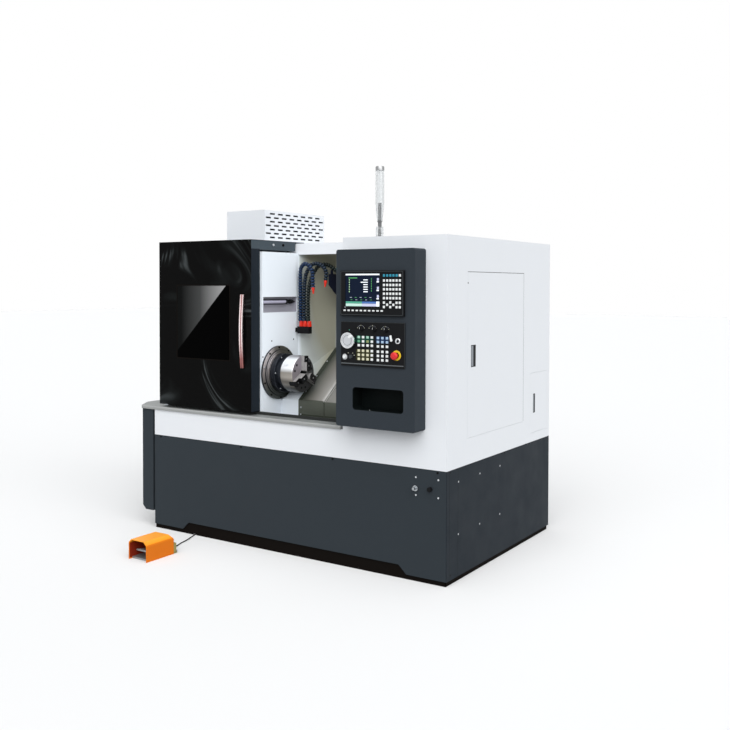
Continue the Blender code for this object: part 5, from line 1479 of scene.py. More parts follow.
@dataclass
class SlidingDoor:
    """The front door: a film-covered skin with flanges, a hood, a tinted pane and a bowed pull."""

    x: Span = (0.040, 0.728)
    z: Span = (0.700, 1.628)
    sheet: float = 0.004
    flange: float = 0.074
    fold_r: float = 0.0008
    hood_deep: float = 0.385
    lip_deep: float = 0.469
    hood_z: float = 1.575
    pane_x: Span = (0.180, 0.580)
    pane_z: Span = (0.970, 1.384)
    pull_x: float = 0.6745
    pull_z: Span = (0.9370, 1.3330)
    pull_w: float = 0.023
    pull_t: float = 0.012
    pull_bow: float = 0.011
    groove_deep: float = 0.002

    def build(self) -> None:
        """Builds the door's pieces."""
        self.skin()
        self.pane()
        self.pull()
        self.hood_bolts()

    def skin(self) -> None:
        """The front sheet with its folded flanges and the hood over the top."""
        door = Piece("door_skin", "black_gloss", DOOR_FILM, "front_door")
        front = block(self.x, (0.0, self.sheet), self.z, 0.0012)
        hole = prism(rounded_outline(self.pane_x, self.pane_z, 0.004), Axis.Y, (-0.01, self.sheet + 0.01))
        door.add(joined("DIFFERENCE", front, [hole]))
        door.use(FLANGE)
        left = (self.x[0], self.x[0] + self.sheet)
        right = (self.x[1] - self.sheet, self.x[1])
        deep = (self.sheet, self.flange)
        tall = (self.z[0], self.hood_z + self.sheet)
        door.add(
            block(left, deep, tall, self.fold_r), block(right, deep, tall, self.fold_r),
            block(self.x, deep, (self.z[0], self.z[0] + self.sheet), self.fold_r)
        )
        # The hood takes the lighter copy of the coat, as painted light; the flanges take the darker one, as
        # painted shade.
        door.use(HOOD)
        for y, low in (
            ((self.flange, self.hood_deep), self.hood_z),
            ((self.sheet, self.flange), self.hood_z + self.sheet)
        ):
            for side in (left, right):
                door.add(block(side, y, (low, self.z[1]), self.fold_r))
        door.add(block(self.x, (self.sheet, self.lip_deep), (self.z[1] - self.sheet, self.z[1]), self.fold_r))
        door.use(FLANGE)
        door.add(block(
            self.x, (self.hood_deep + 0.002, self.lip_deep), (self.z[1] - 0.0095, self.z[1] - self.sheet),
            self.fold_r
        ))
        door.done("front_door")

    def pane(self) -> None:
        """The pane with its rubber seal."""
        pane = Piece("door_glass", "glass", PANE, "front_door")
        pane.add(block(
            grown(self.pane_x, -0.0008), (0.0003, self.sheet), grown(self.pane_z, -0.0008), 0.0006
        ))
        pane.use(SEAL_AND_SHADOW_BLACK)
        rim = prism(
            rounded_outline(grown(self.pane_x, 0.001), grown(self.pane_z, 0.001), 0.005), Axis.Y,
            (-0.0009, 0.0002)
        )
        window = prism(
            rounded_outline(grown(self.pane_x, -0.004), grown(self.pane_z, -0.004), 0.004), Axis.Y,
            (-0.01, 0.01)
        )
        pane.add(joined("DIFFERENCE", rim, [window]))
        pane.done("door_pane")

    def pull(self) -> None:
        """The bowed pull on its two feet."""
        pull = Piece("door_bow_pull", "copper_anodised", ROSE, "front_door")
        rise = self.pull_z[1] - self.pull_z[0]
        half, third, steps = self.pull_t / 2, self.pull_w / 3, 24
        rose, groove = [], []
        for i in range(steps + 1):
            share = i / steps
            y = -half - FIT - self.pull_bow * math.sin(math.pi * share)
            z = self.pull_z[0] + rise * share
            rose.append((y, z))
            groove.append((y + self.groove_deep, z))
        lanes = ((rose, -1.5, -0.45), (groove, -0.45, 0.45), (rose, 0.45, 1.5))
        for lane, (path, low, high) in enumerate(lanes):
            pull.use(ROSE_GROOVE if lane == 1 else ROSE)
            outline = [(y - half, z) for y, z in path] + [
                (y + half if lane != 1 else y + half - 2 * self.groove_deep, z)
                for y, z in reversed(path)
            ]
            pull.add(prism(
                outline, Axis.X, (self.pull_x + low * third, self.pull_x + high * third), 0.0008, 1
            ))
        pull.done("door_pull")

    def hood_bolts(self) -> None:
        """The bolts and the stop block on the hood's right skirt."""
        bolts = Piece("hood_bolts", "black_gloss", SCREW_ZINC, "front_door")
        face = self.x[1]
        bolts.add(cap_screw((face, 0.1876, 1.6043), (1, 0, 0), 0.007, 0.005))
        bolts.use(SCREW_BLACK)
        bolts.add(cap_screw((face, 0.2736, 1.6059), (1, 0, 0), 0.007, 0.005))
        bolts.add(block((face - 0.003, face), (0.3095, 0.3367), (1.5594, 1.5755), 0.001))
        bolts.done()


@dataclass
class ControlBox:
    """The control box with its display, keypads, dials and switches."""

    x: Span = (1.355, 1.800)
    z: Span = (0.700, 1.556)
    back: float = -0.0003
    deep: float = 0.100
    edge: float = 0.004
    corner: float = 0.012
    pocket_x: Span = (1.453, 1.738)
    pocket_z: Span = (0.785, 0.894)
    pocket_corner: float = 0.016
    pocket_deep: float = 0.080
    unit_x: Span = (1.390, 1.748)
    unit_z: Span = (1.238, 1.454)
    unit_front: float = -0.1166
    screen_x: Span = (1.4203, 1.6153)
    screen_z: Span = (1.2825, 1.4390)
    panel_x: Span = (1.3890, 1.7490)
    panel_z: Span = (0.996, 1.209)
    panel_front: float = -0.1066
    wheel_at: tuple[float, float] = (1.440, 1.119)
    knobs_at: tuple[tuple[float, float], ...] = ((1.507, 1.174), (1.581, 1.174), (1.646, 1.174))
    lever_at: tuple[float, float] = (1.680, 1.127)
    key_at: tuple[float, float] = (1.712, 1.124)
    stop_at: tuple[float, float] = (1.702, 1.055)

    def build(self) -> None:
        """Builds the box and all that the operator sees and touches on it."""
        self.case()
        self.display()
        self.screen_fields()
        self.mdi_keys()
        self.panel()
        self.panel_keys()
        self.handwheel()
        self.dials()
        self.switches()

    def round_part(self, profile: Outline, at: tuple[float, float], sides: int) -> Shape:
        """A part turned about a line that stands on the operator panel.

        Args:
            profile: (height over the panel, radius) pairs.
            at: The line's X and Z.
            sides: Faces around it.

        Returns:
            The shape.
        """
        return turned(profile, (at[0], self.panel_front, at[1]), (0, -1, 0), sides)

    def case(self) -> None:
        """The folded steel case with the shelf pocket under the panel."""
        front = self.back - self.deep
        shell = prism(rounded_outline(self.x, self.z, self.corner), Axis.Y, (front, self.back), self.edge, 2)
        pocket = prism(
            rounded_outline(self.pocket_x, self.pocket_z, self.pocket_corner), Axis.Y,
            (front - 0.01, front + self.pocket_deep)
        )
        case = Piece("control_case", "slate_enamel", BOX_SLATE)
        case.add(joined("DIFFERENCE", shell, [pocket]))
        # The pocket's walls take the near-black coat, as painted shade.
        for face in case.shape.faces:
            face.material_index = int(self.in_pocket(face.calc_center_median()))
        case.use(SHELF_DARK)
        # A small zinc dome on the shelf floor, put there as a painted glint.
        case.use(SCREW_ZINC)
        case.add(turned(
            [(0, 0), (0, 0.0020), (0.0012, 0.0016), (0.0012, 0)],
            (1.536, front + 0.024, self.pocket_z[0] + 0.0002), (0, 0, 1), 10
        ))
        case.done("control_box")

    def in_pocket(self, spot: Vector) -> bool:
        """Whether a point of the case lies on the shelf pocket's walls."""
        near = 0.001
        low_x, high_x = grown(self.pocket_x, near)
        low_z, high_z = grown(self.pocket_z, near)
        deep = self.back - self.deep + 2 * near < spot.y < self.back - near
        return deep and low_x < spot.x < high_x and low_z < spot.z < high_z

    def display(self) -> None:
        """The display's moulded frame, with the well for the screen and a raised rim."""
        unit = Piece("display_frame", "black_plastic", BLACK_MOULDING)
        back = self.back - self.deep - FIT
        body = block(self.unit_x, (self.unit_front, back), self.unit_z, 0.003, 3)
        well = block(self.screen_x, (self.unit_front - 0.01, self.unit_front + 0.003), self.screen_z)
        unit.add(joined("DIFFERENCE", body, [well]))
        unit.use(RIM_MOULDING)
        y = (self.unit_front - 0.0008, self.unit_front + 0.0004)
        outer = prism(
            rounded_outline(grown(self.unit_x, -0.004), grown(self.unit_z, -0.004), 0.006), Axis.Y, y
        )
        inner = prism(
            rounded_outline(grown(self.unit_x, -0.0065), grown(self.unit_z, -0.0065), 0.005), Axis.Y,
            (y[0] - 0.01, y[1] + 0.01)
        )
        unit.add(joined("DIFFERENCE", outer, [inner]))
        unit.done("display_unit")

    def screen_fields(self) -> None:
        """The lit fields of the screen: bars, columns of figures and key legends, with no words."""
        y = self.unit_front + 0.0027
        lcd = Piece("display_fields", "glass", SCREEN_NAVY)
        lcd.add(block(grown(self.screen_x, -0.0003), (y, y + 0.002), grown(self.screen_z, -0.0003)))

        def field_at(finish: Finish, x: Span, z: Span) -> None:
            lcd.use(finish)
            lcd.add(block(x, (y - 0.0003, y), z))

        x0, x1 = self.screen_x
        field_at(SCREEN_WHITE, (x0 + 0.0005, x1 - 0.0005), (1.4310, 1.4382))
        field_at(SCREEN_GREEN, (x0 + 0.018, x0 + 0.068), (1.4158, 1.4205))
        for k in range(6):
            z = 1.4120 - k * 0.0112
            field_at(SCREEN_LIME, (x0 + 0.0205, x0 + 0.0245), (z - 0.0062, z))
            field_at(SCREEN_WHITE, (x0 + (0.088 if k == 1 else 0.103), x0 + 0.128), (z - 0.0055, z - 0.0010))
            field_at(SCREEN_GREEN, (x0 + 0.147, x0 + 0.150), (z - 0.0030, z + 0.0055))
        for k in range(5):
            field_at(
                SCREEN_GREEN if k % 2 else SCREEN_GREY, (x0 + 0.026 + k * 0.028, x0 + 0.037 + k * 0.028),
                (1.3240, 1.3262)
            )
            field_at(
                SCREEN_GREY if k % 2 else SCREEN_GREEN, (x0 + 0.030 + k * 0.028, x0 + 0.040 + k * 0.028),
                (1.3130, 1.3150)
            )
        for z in (1.3965, 1.3561, 1.3171):
            field_at(SCREEN_WHITE, (x1 - 0.0175, x1 - 0.0045), (z, z + 0.0060))
            field_at(SCREEN_LAVENDER, (x1 - 0.0155, x1 - 0.0045), (z + 0.0075, z + 0.0205))
        strips = (
            (SCREEN_TEAL, SCREEN_BLUE, (1.2970, 1.3058)), (SCREEN_MINT, SCREEN_LAVENDER, (1.2832, 1.2960))
        )
        for near, far, z in strips:
            field_at(near, (x0 + 0.002, x0 + 0.095), z)
            field_at(far, (x0 + 0.0952, x1 - 0.0195), z)
        field_at(SCREEN_WHITE, (x1 - 0.0190, x1 - 0.0005), (1.2832, 1.3070))
        lcd.done("display_screen")

    def keys(
        self, piece: Piece, rows: Sequence[tuple[Finish, Sequence[float], float]],
        size: tuple[float, float], y: float, rise: float
    ) -> None:
        """Sets rows of keycaps.

        Args:
            piece: The piece that takes them.
            rows: Each row's finish, the X of its keys and its Z.
            size: Width and height of one key.
            y: The surface that they stand on.
            rise: How far they stand proud of it.
        """
        for finish, places, z in rows:
            piece.use(finish)
            for x in places:
                piece.add(block(
                    about(x, size[0] / 2), (y - rise, y + 0.0002), about(z, size[1] / 2), min(rise, 0.0012),
                    2
                ))

    def mdi_keys(self) -> None:
        """The data-input keypad beside the screen and the soft keys under it."""
        pad = Piece("display_keys", "white_plastic", KEY_WHITE)
        columns = (1.6413, 1.6589, 1.6763, 1.6930, 1.7104, 1.7280)
        rows: list[tuple[Finish, Sequence[float], float]] = [
            (KEY_TEAL, columns[:5], 1.4290), (KEY_WHITE, columns[5:], 1.4290)
        ]
        rows += [(KEY_WHITE, columns, z) for z in (1.4053, 1.3846, 1.3645, 1.3437, 1.3232)]
        rows += [(KEY_WHITE, (columns[0], *columns[4:]), z) for z in (1.3022, 1.2818)]
        rows += [
            (KEY_WHITE, (columns[1], columns[3]), 1.2923), (KEY_WHITE, (columns[2],), 1.3033),
            (KEY_WHITE, (columns[2],), 1.2819)
        ]
        self.keys(pad, rows, (0.0112, 0.0116), self.unit_front, 0.0028)
        soft = tuple(1.4181 + k * (1.6290 - 1.4181) / 9 for k in range(10))
        self.keys(pad, [(KEY_WHITE, soft, 1.2630)], (0.0132, 0.0072), self.unit_front, 0.0024)
        self.keys(pad, [(INK_GREY, (1.4207,), 1.2782)], (0.0060, 0.0060), self.unit_front, 0.0020)
        pad.done()

    def panel(self) -> None:
        """The operator panel's face with its printed rules and dial scales."""
        plate = Piece("operator_panel_plate", "black_plastic", BLACK_MOULDING)
        back = self.back - self.deep - FIT
        plate.add(block(self.panel_x, (self.panel_front, back), self.panel_z, 0.0015))
        # Thin lighter strips along the panel's top and right edges: painted highlights.
        plate.use(RIM_MOULDING)
        edge = 0.0014
        skin = (self.panel_front - 0.0003, self.panel_front + 0.0001)
        plate.add(block(
            grown(self.panel_x, -0.001), skin, (self.panel_z[1] - edge - 0.001, self.panel_z[1] - 0.001)
        ))
        plate.add(block(
            (self.panel_x[1] - edge - 0.001, self.panel_x[1] - 0.001), skin, grown(self.panel_z, -0.002)
        ))
        plate.done("operator_panel")
        face = Piece("panel_print", "black_plastic", INK_GREY)
        y = skin
        face.use(RAIL_GREY)
        face.add(block(
            (1.3916, 1.7426), (self.panel_front - 0.0022, self.panel_front + 0.0001), (1.0052, 1.0102),
            0.0008
        ))
        for x, z in ((1.5050, 1.1700), (1.5709, 1.1700), (1.6420, 1.1680)):
            for k in range(7):
                tick = block((-0.0011, 0.0011), y, (0.0200, 0.0240))
                spin = Matrix.Translation((x, 0, z)) @ Matrix.Rotation(math.radians(-63 + k * 21), 4, "Y")
                face.use(INK_CREAM if k % 3 == 0 else INK_GREY)
                face.add(tick, turn=spin)
        for x, z in ((1.4300, 1.0560), (1.4560, 1.0560), (1.4650, 1.0460)):
            face.add(block((x, x + 0.0035), y, (z, z + 0.0035)))
        for finish, x, z in (
            (PRINT_GREEN, (1.4789, 1.5760), (1.1090, 1.1422)),
            (PRINT_BLUE, (1.5896, 1.6623), (1.1107, 1.1427)),
            (PRINT_OLIVE, (1.4772, 1.5755), (1.0259, 1.0764)),
        ):
            face.use(finish)
            face.add(block(x, y, z))
        face.use(SCREEN_TEAL)
        face.add(self.round_part([(0, 0), (0, 0.0022), (0.0006, 0.0022), (0.0006, 0)], (1.4381, 1.1684), 12))
        face.done()

    def panel_keys(self) -> None:
        """The operator's mode and jog keys."""
        pad = Piece("panel_keys", "white_plastic", KEY_WHITE)
        left, right = (1.4938, 1.5183, 1.5437, 1.5682), (1.6023, 1.6271, 1.6526)
        rows: list[tuple[Finish, Sequence[float], float]] = [
            (KEY_MINT, (left[0], left[2]), 1.1360), (KEY_WHITE, (left[1], left[3]), 1.1360),
            (KEY_GREEN, (left[0],), 1.1162), (KEY_WHITE, (left[1], left[3]), 1.1162),
            (KEY_OLIVE, (left[2],), 1.1162), (KEY_WHITE, left, 1.0970), (KEY_PALE_BLUE, right, 1.1350),
            (KEY_PALE_BLUE, right, 1.1162)
        ]
        rows += [(KEY_CREAM, left[:3], z) for z in (1.0715, 1.0514, 1.0317)]
        rows += [(KEY_WHITE, left[3:], z) for z in (1.0715, 1.0514, 1.0317)]
        rows += [(KEY_WHITE, right, z) for z in (1.0952, 1.0703, 1.0505, 1.0307)]
        self.keys(pad, rows, (0.0135, 0.0118), self.panel_front, 0.0026)
        pad.done()

    def handwheel(self) -> None:
        """The pulse handwheel: chrome rim, spun disc and white crank grip."""
        at = self.wheel_at
        wheel = Piece("pulse_wheel", "chrome", CHROME, "handwheel")
        rim = [
            (0.006, 0.010), (0.006, 0.0385), (0.008, 0.0395), (0.020, 0.0395), (0.022, 0.0380),
            (0.022, 0.0330), (0.020, 0.0320), (0.017, 0.010)
        ]
        wheel.add(self.round_part(rim, at, 56))
        wheel.add(self.round_part([(-0.0025, 0), (-0.0025, 0.008), (0.008, 0.008), (0.008, 0)], at, 24))
        wheel.use(WHEEL_DISC)
        wheel.add(self.round_part(
            [
                (0.0165, 0), (0.0165, 0.0315), (0.0205, 0.0310), (0.0205, 0.0235), (0.0215, 0.0225),
                (0.0215, 0)
            ],
            at, 56
        ))
        wheel.use(BLACK_MOULDING)
        wheel.add(self.round_part(
            [(0.0206, 0.0222), (0.0206, 0.0242), (0.0211, 0.0242), (0.0211, 0.0222)], at, 48
        ))
        wheel.use(KEY_WHITE)
        grip = (at[0] + 0.0200, at[1] + 0.0180)
        wheel.add(self.round_part(
            [(0.018, 0), (0.018, 0.0060), (0.022, 0.0075), (0.032, 0.0078), (0.0358, 0.0065), (0.0358, 0)],
            grip, 28
        ))
        wheel.done("handwheel")

    def dials(self) -> None:
        """The three override knobs: a skirted disc with a grip bar and a white pointer."""
        y = self.panel_front
        for k, at in enumerate(self.knobs_at):
            knob = Piece(f"override_dial_{k + 1}", "black_plastic", BLACK_MOULDING, f"override_knob_{k + 1}")
            skirt = [
                (0.0003, 0), (0.0003, 0.0125), (0.002, 0.0125), (0.0040, 0.0105), (0.0095, 0.0098),
                (0.0105, 0.0085), (0.0105, 0)
            ]
            knob.add(self.round_part(skirt, at, 28))
            knob.add(block(about(at[0], 0.003), (y - 0.0163, y - 0.008), about(at[1], 0.0108), 0.0012))
            knob.use(KEY_WHITE)
            knob.add(block(about(at[0], 0.0006), (y - 0.0166, y - 0.0160), (at[1] + 0.001, at[1] + 0.0100)))
            knob.done(f"override_knob_{k + 1}")

    def switches(self) -> None:
        """The lever switch, key switch, two push buttons and the emergency stop."""
        y = self.panel_front
        lever = Piece("lever_handle", "white_plastic", CHROME, "lever_switch")
        lever.add(self.round_part(
            [(0.0003, 0), (0.0003, 0.0075), (0.0075, 0.0068), (0.0078, 0)], self.lever_at, 24
        ))
        lever.use(KEY_WHITE)
        stick = block((-0.0046, 0.0046), (y - 0.0152, y - 0.0050), (-0.0060, 0.0230), 0.0030, 3)
        tilt = Matrix.Rotation(math.radians(-8), 4, "Y")
        lever.add(stick, turn=Matrix.Translation((self.lever_at[0], 0, self.lever_at[1])) @ tilt)
        lever.done("lever_switch")

        key = Piece("key_lock", "chrome", CHROME, "key_switch")
        key.add(self.round_part(
            [
                (0.0003, 0.0075), (0.0003, 0.0140), (0.0030, 0.0140), (0.0046, 0.0125), (0.0046, 0.0085),
                (0.0030, 0.0075)
            ],
            self.key_at, 32
        ))
        key.use(BLACK_MOULDING)
        key.add(self.round_part(
            [(0.0003, 0), (0.0003, 0.0075), (0.0032, 0.0075), (0.0032, 0)], self.key_at, 24
        ))
        key.use(CHROME)
        key.add(block(
            about(self.key_at[0], 0.0012), (y - 0.0222, y - 0.0030), about(self.key_at[1], 0.007), 0.0006
        ))
        key.done("key_switch")

        for name, at, finish in (
            ("cycle_start", (1.413, 1.039), KEY_WHITE), ("feed_hold", (1.448, 1.040), RIM_MOULDING)
        ):
            button = Piece(f"{name}_button", "white_plastic", finish, name)
            button.add(self.round_part(
                [(-0.0006, 0), (-0.0006, 0.0092), (0.0066, 0.0092), (0.0080, 0.0082), (0.0080, 0)], at, 28
            ))
            button.done(name)
            bezel = Piece(f"{name}_bezel", "black_plastic", CHROME if name == "cycle_start" else BLACK_OXIDE)
            bezel.add(self.round_part(
                [(0.0, 0.0109), (0.0, 0.0140), (0.0018, 0.0134), (0.0026, 0.0109)], at, 32
            ))
            bezel.done()

        stop = Piece("stop_button", "red_plastic", RED_MOULDING, "emergency_stop")
        mushroom = [
            (-0.0012, 0), (-0.0012, 0.0105), (0.0110, 0.0105), (0.0130, 0.0165), (0.0145, 0.0180),
            (0.0200, 0.0182), (0.0235, 0.0168), (0.0255, 0.0125), (0.0262, 0.0055), (0.0262, 0)
        ]
        stop.add(self.round_part(mushroom, self.stop_at, 40))
        stop.done("emergency_stop")
        collar = Piece("stop_collar", "black_plastic", YELLOW_MOULDING)
        centre = (self.stop_at[0] + 0.0028, self.stop_at[1] + 0.0015)
        collar.add(self.round_part(
            [(0.0, 0.0140), (0.0, 0.0235), (0.0018, 0.0235), (0.0026, 0.0222), (0.0016, 0.0140)], centre, 40
        ))
        collar.done()


@dataclass
class Spindle:
    """The spindle nose, its bearing cap, the three-jaw chuck and the jaws."""

    axis_y: float = SPINDLE_AXIS[1]
    axis_z: float = SPINDLE_AXIS[2]
    wall: float = 0.7403
    adapter_x: Span = (0.7645, 0.7990)
    adapter_r: float = 0.112
    nose: float = 0.8257
    chuck_x: Span = (0.826, 0.915)
    chuck_r: float = 0.0995
    slot_w: float = 0.0295
    way_deep: float = 0.028
    jaw_out: float = 0.096
    tip_r: float = 0.099
    step_r: float = 0.066
    step_low: float = 0.021
    step_high: float = 0.038
    nib: tuple[float, float] = (0.0065, 0.0142)
    cheek: tuple[float, float] = (0.0185, 0.0214)

    def at(self, x: float) -> Point:
        """The point of the axis at X."""
        return (x, self.axis_y, self.axis_z)

    def turn(self, degrees: float) -> Matrix:
        """The move that carries a shape drawn straight up from the origin's axis to its place."""
        spin = Matrix.Rotation(math.radians(degrees), 4, "X")
        return Matrix.Translation((0, self.axis_y, self.axis_z)) @ spin

    def build(self) -> None:
        """Builds the cap, hub, chuck and jaws."""
        dress_nodes({"headstock": CASTING})
        self.cap()
        self.hub()
        self.chuck()
        for k in range(3):
            self.jaw(k)

    def cap(self) -> None:
        """The stepped bearing cap with its ring of bolts."""
        cap = Piece("bearing_cap_ring", "ground_steel", CAP_STEEL)
        profile = [
            (0.0, 0.0755), (0.0, 0.1465), (0.0008, 0.1475), (0.0120, 0.1475), (0.0130, 0.1465),
            (0.0130, 0.1270), (0.0120, 0.1262), (0.0120, 0.1248), (0.0185, 0.1240), (0.0185, 0.1160),
            (0.0212, 0.1150), (0.0220, 0.1140), (0.0220, 0.0755)
        ]
        cap.add(turned(profile, self.at(self.wall), (1, 0, 0), 96))
        for face in cap.shape.faces:
            face.normal_update()
            face.material_index = int(face.normal.x < 0.5)
        cap.use(HUB_STEEL)
        for x, radius in ((0.0131, 0.1262), (0.0221, 0.1060)):
            cap.add(turned(
                [(x - 0.0004, radius - 0.0014), (x, radius - 0.0014), (x, radius), (x - 0.0004, radius)],
                self.at(self.wall), (1, 0, 0), 96
            ))
        for k in range(10):
            cap.use(SCREW_ZINC if k % 5 == 2 else SCREW_BLACK)
            at = self.turn(3 + 36 * k) @ Vector((self.wall + 0.0130, 0, 0.1390))
            cap.add(cap_screw(tuple(at), (1, 0, 0), 0.0055, 0.0045))
        cap.done("bearing_cap")

    def hub(self) -> None:
        """The dark spindle nose and the adapter plate behind the chuck."""
        hub = Piece("spindle_nose", "dark_steel", HUB_STEEL, "spindle")
        near, far, wide = *self.adapter_x, self.adapter_r
        profile = [
            (0.185, 0.026), (0.185, 0.045), (0.195, 0.045), (0.195, 0.096), (0.232, 0.096), (0.232, 0.074),
            (near, 0.074), (near, wide - 0.0100), (near + 0.004, wide - 0.0060),
            (far - 0.0015, wide - 0.0060), (far, wide - 0.0075), (far, 0.0885), (far + 0.001, 0.0875),
            (self.nose - 0.003, 0.0875), (self.nose - 0.002, 0.0865), (self.nose, 0.0865),
            (self.nose, 0.026)
        ]
        hub.add(turned([(x - 0.185, r) for x, r in profile], self.at(0.185), (1, 0, 0), 96))
        hub.use(SCREW_ZINC)
        for k in range(6):
            at = self.turn(27 + 60 * k) @ Vector((far, 0, 0.0970))
            hub.add(cap_screw(tuple(at), (1, 0, 0), 0.0042, 0.0030))
        hub.done("spindle")

    def chuck(self) -> None:
        """The chuck body with its jaw ways, key sockets and face screws."""
        x0, x1 = self.chuck_x
        deep = x1 - x0
        r = self.chuck_r
        profile = [
            (0.0, 0.026), (0.0, 0.089), (0.001, 0.090), (0.012, 0.090), (0.012, r - 0.001), (0.013, r),
            (deep - 0.005, r), (deep - 0.002, r - 0.001), (deep - 0.0005, r - 0.003), (deep, r - 0.005),
            (deep, 0.030), (deep - 0.002, 0.026)
        ]
        body = turned(profile, self.at(x0), (1, 0, 0), 96)
        cutters = []
        for k in range(3):
            slot = block(
                (x1 - self.way_deep, x1 + 0.02), (-self.slot_w / 2, self.slot_w / 2), (0.013, r + 0.02)
            )
            bmesh.ops.transform(slot, matrix=self.turn(120 * k), verts=slot.verts)
            cutters.append(slot)
            socket = turned(
                [(r - 0.014, 0), (r - 0.014, 0.0085), (r + 0.02, 0.0085), (r + 0.02, 0)],
                (x0 + 0.040, 0, 0), (0, 0, 1), 4
            )
            bmesh.ops.transform(socket, matrix=self.turn(60 + 120 * k), verts=socket.verts)
            cutters.append(socket)
        chuck = Piece("chuck_body", "ground_steel", CHUCK_STEEL, "spindle")
        chuck.add(joined("DIFFERENCE", body, cutters))
        for face in chuck.shape.faces:
            face.normal_update()
            face.material_index = int(face.normal.x > 0.9)
        chuck.use(CHUCK_FACE)
        chuck.use(SCREW_BLACK)
        for k in range(3):
            for off in (-12, 14):
                at = self.turn(60 + 120 * k + off) @ Vector((x1, 0, 0.0765))
                chuck.add(disc(tuple(at), (1, 0, 0), 0.0066, 0.0004, 16))
        chuck.done("chuck")

    def jaw(self, k: int) -> None:
        """One jaw: the master jaw in its way, the wide top jaw and its two bolts.

        Args:
            k: The jaw's number, from 0.
        """
        face = self.chuck_x[1]
        turn = self.turn(120 * k)
        jaw = Piece(f"jaw_{k + 1}_steps", "dark_steel", JAW_SIDE, f"jaw_{k + 1}")
        low, high, half = face - self.way_deep + FIT, face + self.step_low / 2, self.slot_w / 2 - FIT
        jaw.add(block((low, high), (-half, half), (0.030, self.jaw_out), 0.0008), turn=turn)
        wide = self.cheek[0]
        for x0, x1, reach in (
            (face + FIT, face + self.step_low, self.tip_r),
            (face + self.step_low, face + self.step_high, self.step_r)
        ):
            plan = [
                (-wide, reach), (-wide, self.cheek[1]), (-self.nib[0], self.nib[1]),
                (self.nib[0], self.nib[1]), (wide, self.cheek[1]), (wide, reach)
            ]
            jaw.add(prism(plan, Axis.X, (x0, x1), 0.0010, 2), turn=turn)
        # The fronts, outer ends and back-facing sides take the near-black steel, as painted shade.
        for item in jaw.shape.faces:
            item.normal_update()
            outward = Vector((
                0, item.calc_center_median().y - self.axis_y, item.calc_center_median().z - self.axis_z
            )).normalized()
            if item.normal.x > 0.9 or item.normal.dot(outward) > 0.9 or item.normal.y > 0.4:
                item.material_index = 1
        jaw.use(JAW_SHADE)
        jaw.use(SCREW_ZINC)
        for radius, x in ((0.082, face + self.step_low), (0.046, face + self.step_high)):
            at = turn @ Vector((x, 0, radius))
            jaw.add(cap_screw(tuple(at), (1, 0, 0), 0.0046, 0.0003))
        jaw.done(f"jaw_{k + 1}")


@dataclass
class WayCovers:
    """The telescopic covers of the slant bed and the screws that hold them."""

    slope_deg: float = 37.5
    lip: tuple[float, float] = (0.243, 0.752)
    run: float = 0.430
    nest: float = 0.0033
    guard_end: float = 1.0308

    def slope(self, s: float, n: float) -> tuple[float, float]:
        """(y, z) of the point s up the slope from the fold and n out from the outer face."""
        a = math.radians(self.slope_deg)
        return (
            self.lip[0] + s * math.cos(a) - n * math.sin(a), self.lip[1] + s * math.sin(a) + n * math.cos(a)
        )

    def sloped(self, x: Span, s: Span, n: Span) -> Shape:
        """A block lying on the slope."""
        corners = [
            self.slope(s[0], n[0]), self.slope(s[1], n[0]), self.slope(s[1], n[1]), self.slope(s[0], n[1])
        ]
        return prism(corners, Axis.X, x, 0.0006, 1)

    def build(self) -> None:
        """Dresses the covers and adds their edge strip, rolled edges and bolts."""
        dress_nodes({
            "way_guard": COVER_STEEL, "mid_cover": COVER_STEEL, "saddle": COVER_STEEL, "slant_bed": CASTING,
            "cross_slide": CASTING, "turret_disc": GROUND
        })
        strip = Piece("cover_edge_strip", "stainless", STRIP_DARK)
        strip.add(self.sloped((0.8603, 0.8850), (0.002, self.run), (0.0001, 0.0022)))
        strip.use(SCREW_ZINC)
        normal = Vector((0, *self.slope(0, 1))) - Vector((0, *self.slope(0, 0)))
        for s in (0.068, 0.195, 0.322):
            y, z = self.slope(s, 0.0022)
            strip.add(cap_screw((0.8720, y, z), tuple(normal), 0.0048, 0.0025))
        strip.done()
        rolled = Piece("cover_rolled_edge", "stainless", SHEET_BRIGHT)
        y0, z0 = self.slope(0.001, 0.0004)
        y1, z1 = self.slope(self.run, 0.0004)
        rolled.add(rod((1.0310, y0, z0), (1.0310, y1, z1), 0.0024, 12))
        rolled.done()
        lip = Piece("cover_lip_bolts", "stainless", STRIP_DARK)
        lip.add(block(
            (0.8603, self.guard_end), (self.lip[0] - 0.0008, self.lip[0] - 0.0001), (0.6605, 0.6783)
        ))
        lip.use(SCREW_ZINC)
        for z in (0.7136, 0.6757):
            lip.add(cap_screw((0.8776, self.lip[0] + 0.0001, z), (0, -1, 0), 0.0048, 0.0030))
        lip.done()
        self.mid_shadow_lines()

    def mid_shadow_lines(self) -> None:
        """Dark strips laid on the middle cover as painted shadow along its seams, which ride with it and pass
        under the first one.
        """
        lines = Piece("mid_cover_shadow_lines", "stainless", STRIP_DARK, "mid_cover")
        top = (-self.nest - 0.0008, -self.nest + 0.00012)
        lines.add(self.sloped((1.0405, 1.0430), (0.004, self.run), top))
        lines.add(self.sloped((1.2095, 1.2115), (0.004, self.run), top))
        front = (self.lip[0] + self.nest - 0.00012, self.lip[0] + self.nest + 0.0008)
        lines.add(block((1.0335, 1.2090), front, (0.6605, 0.6783)))
        lines.add(block((1.0335, 1.0365), front, (0.6785, 0.7470)))
        lines.done()


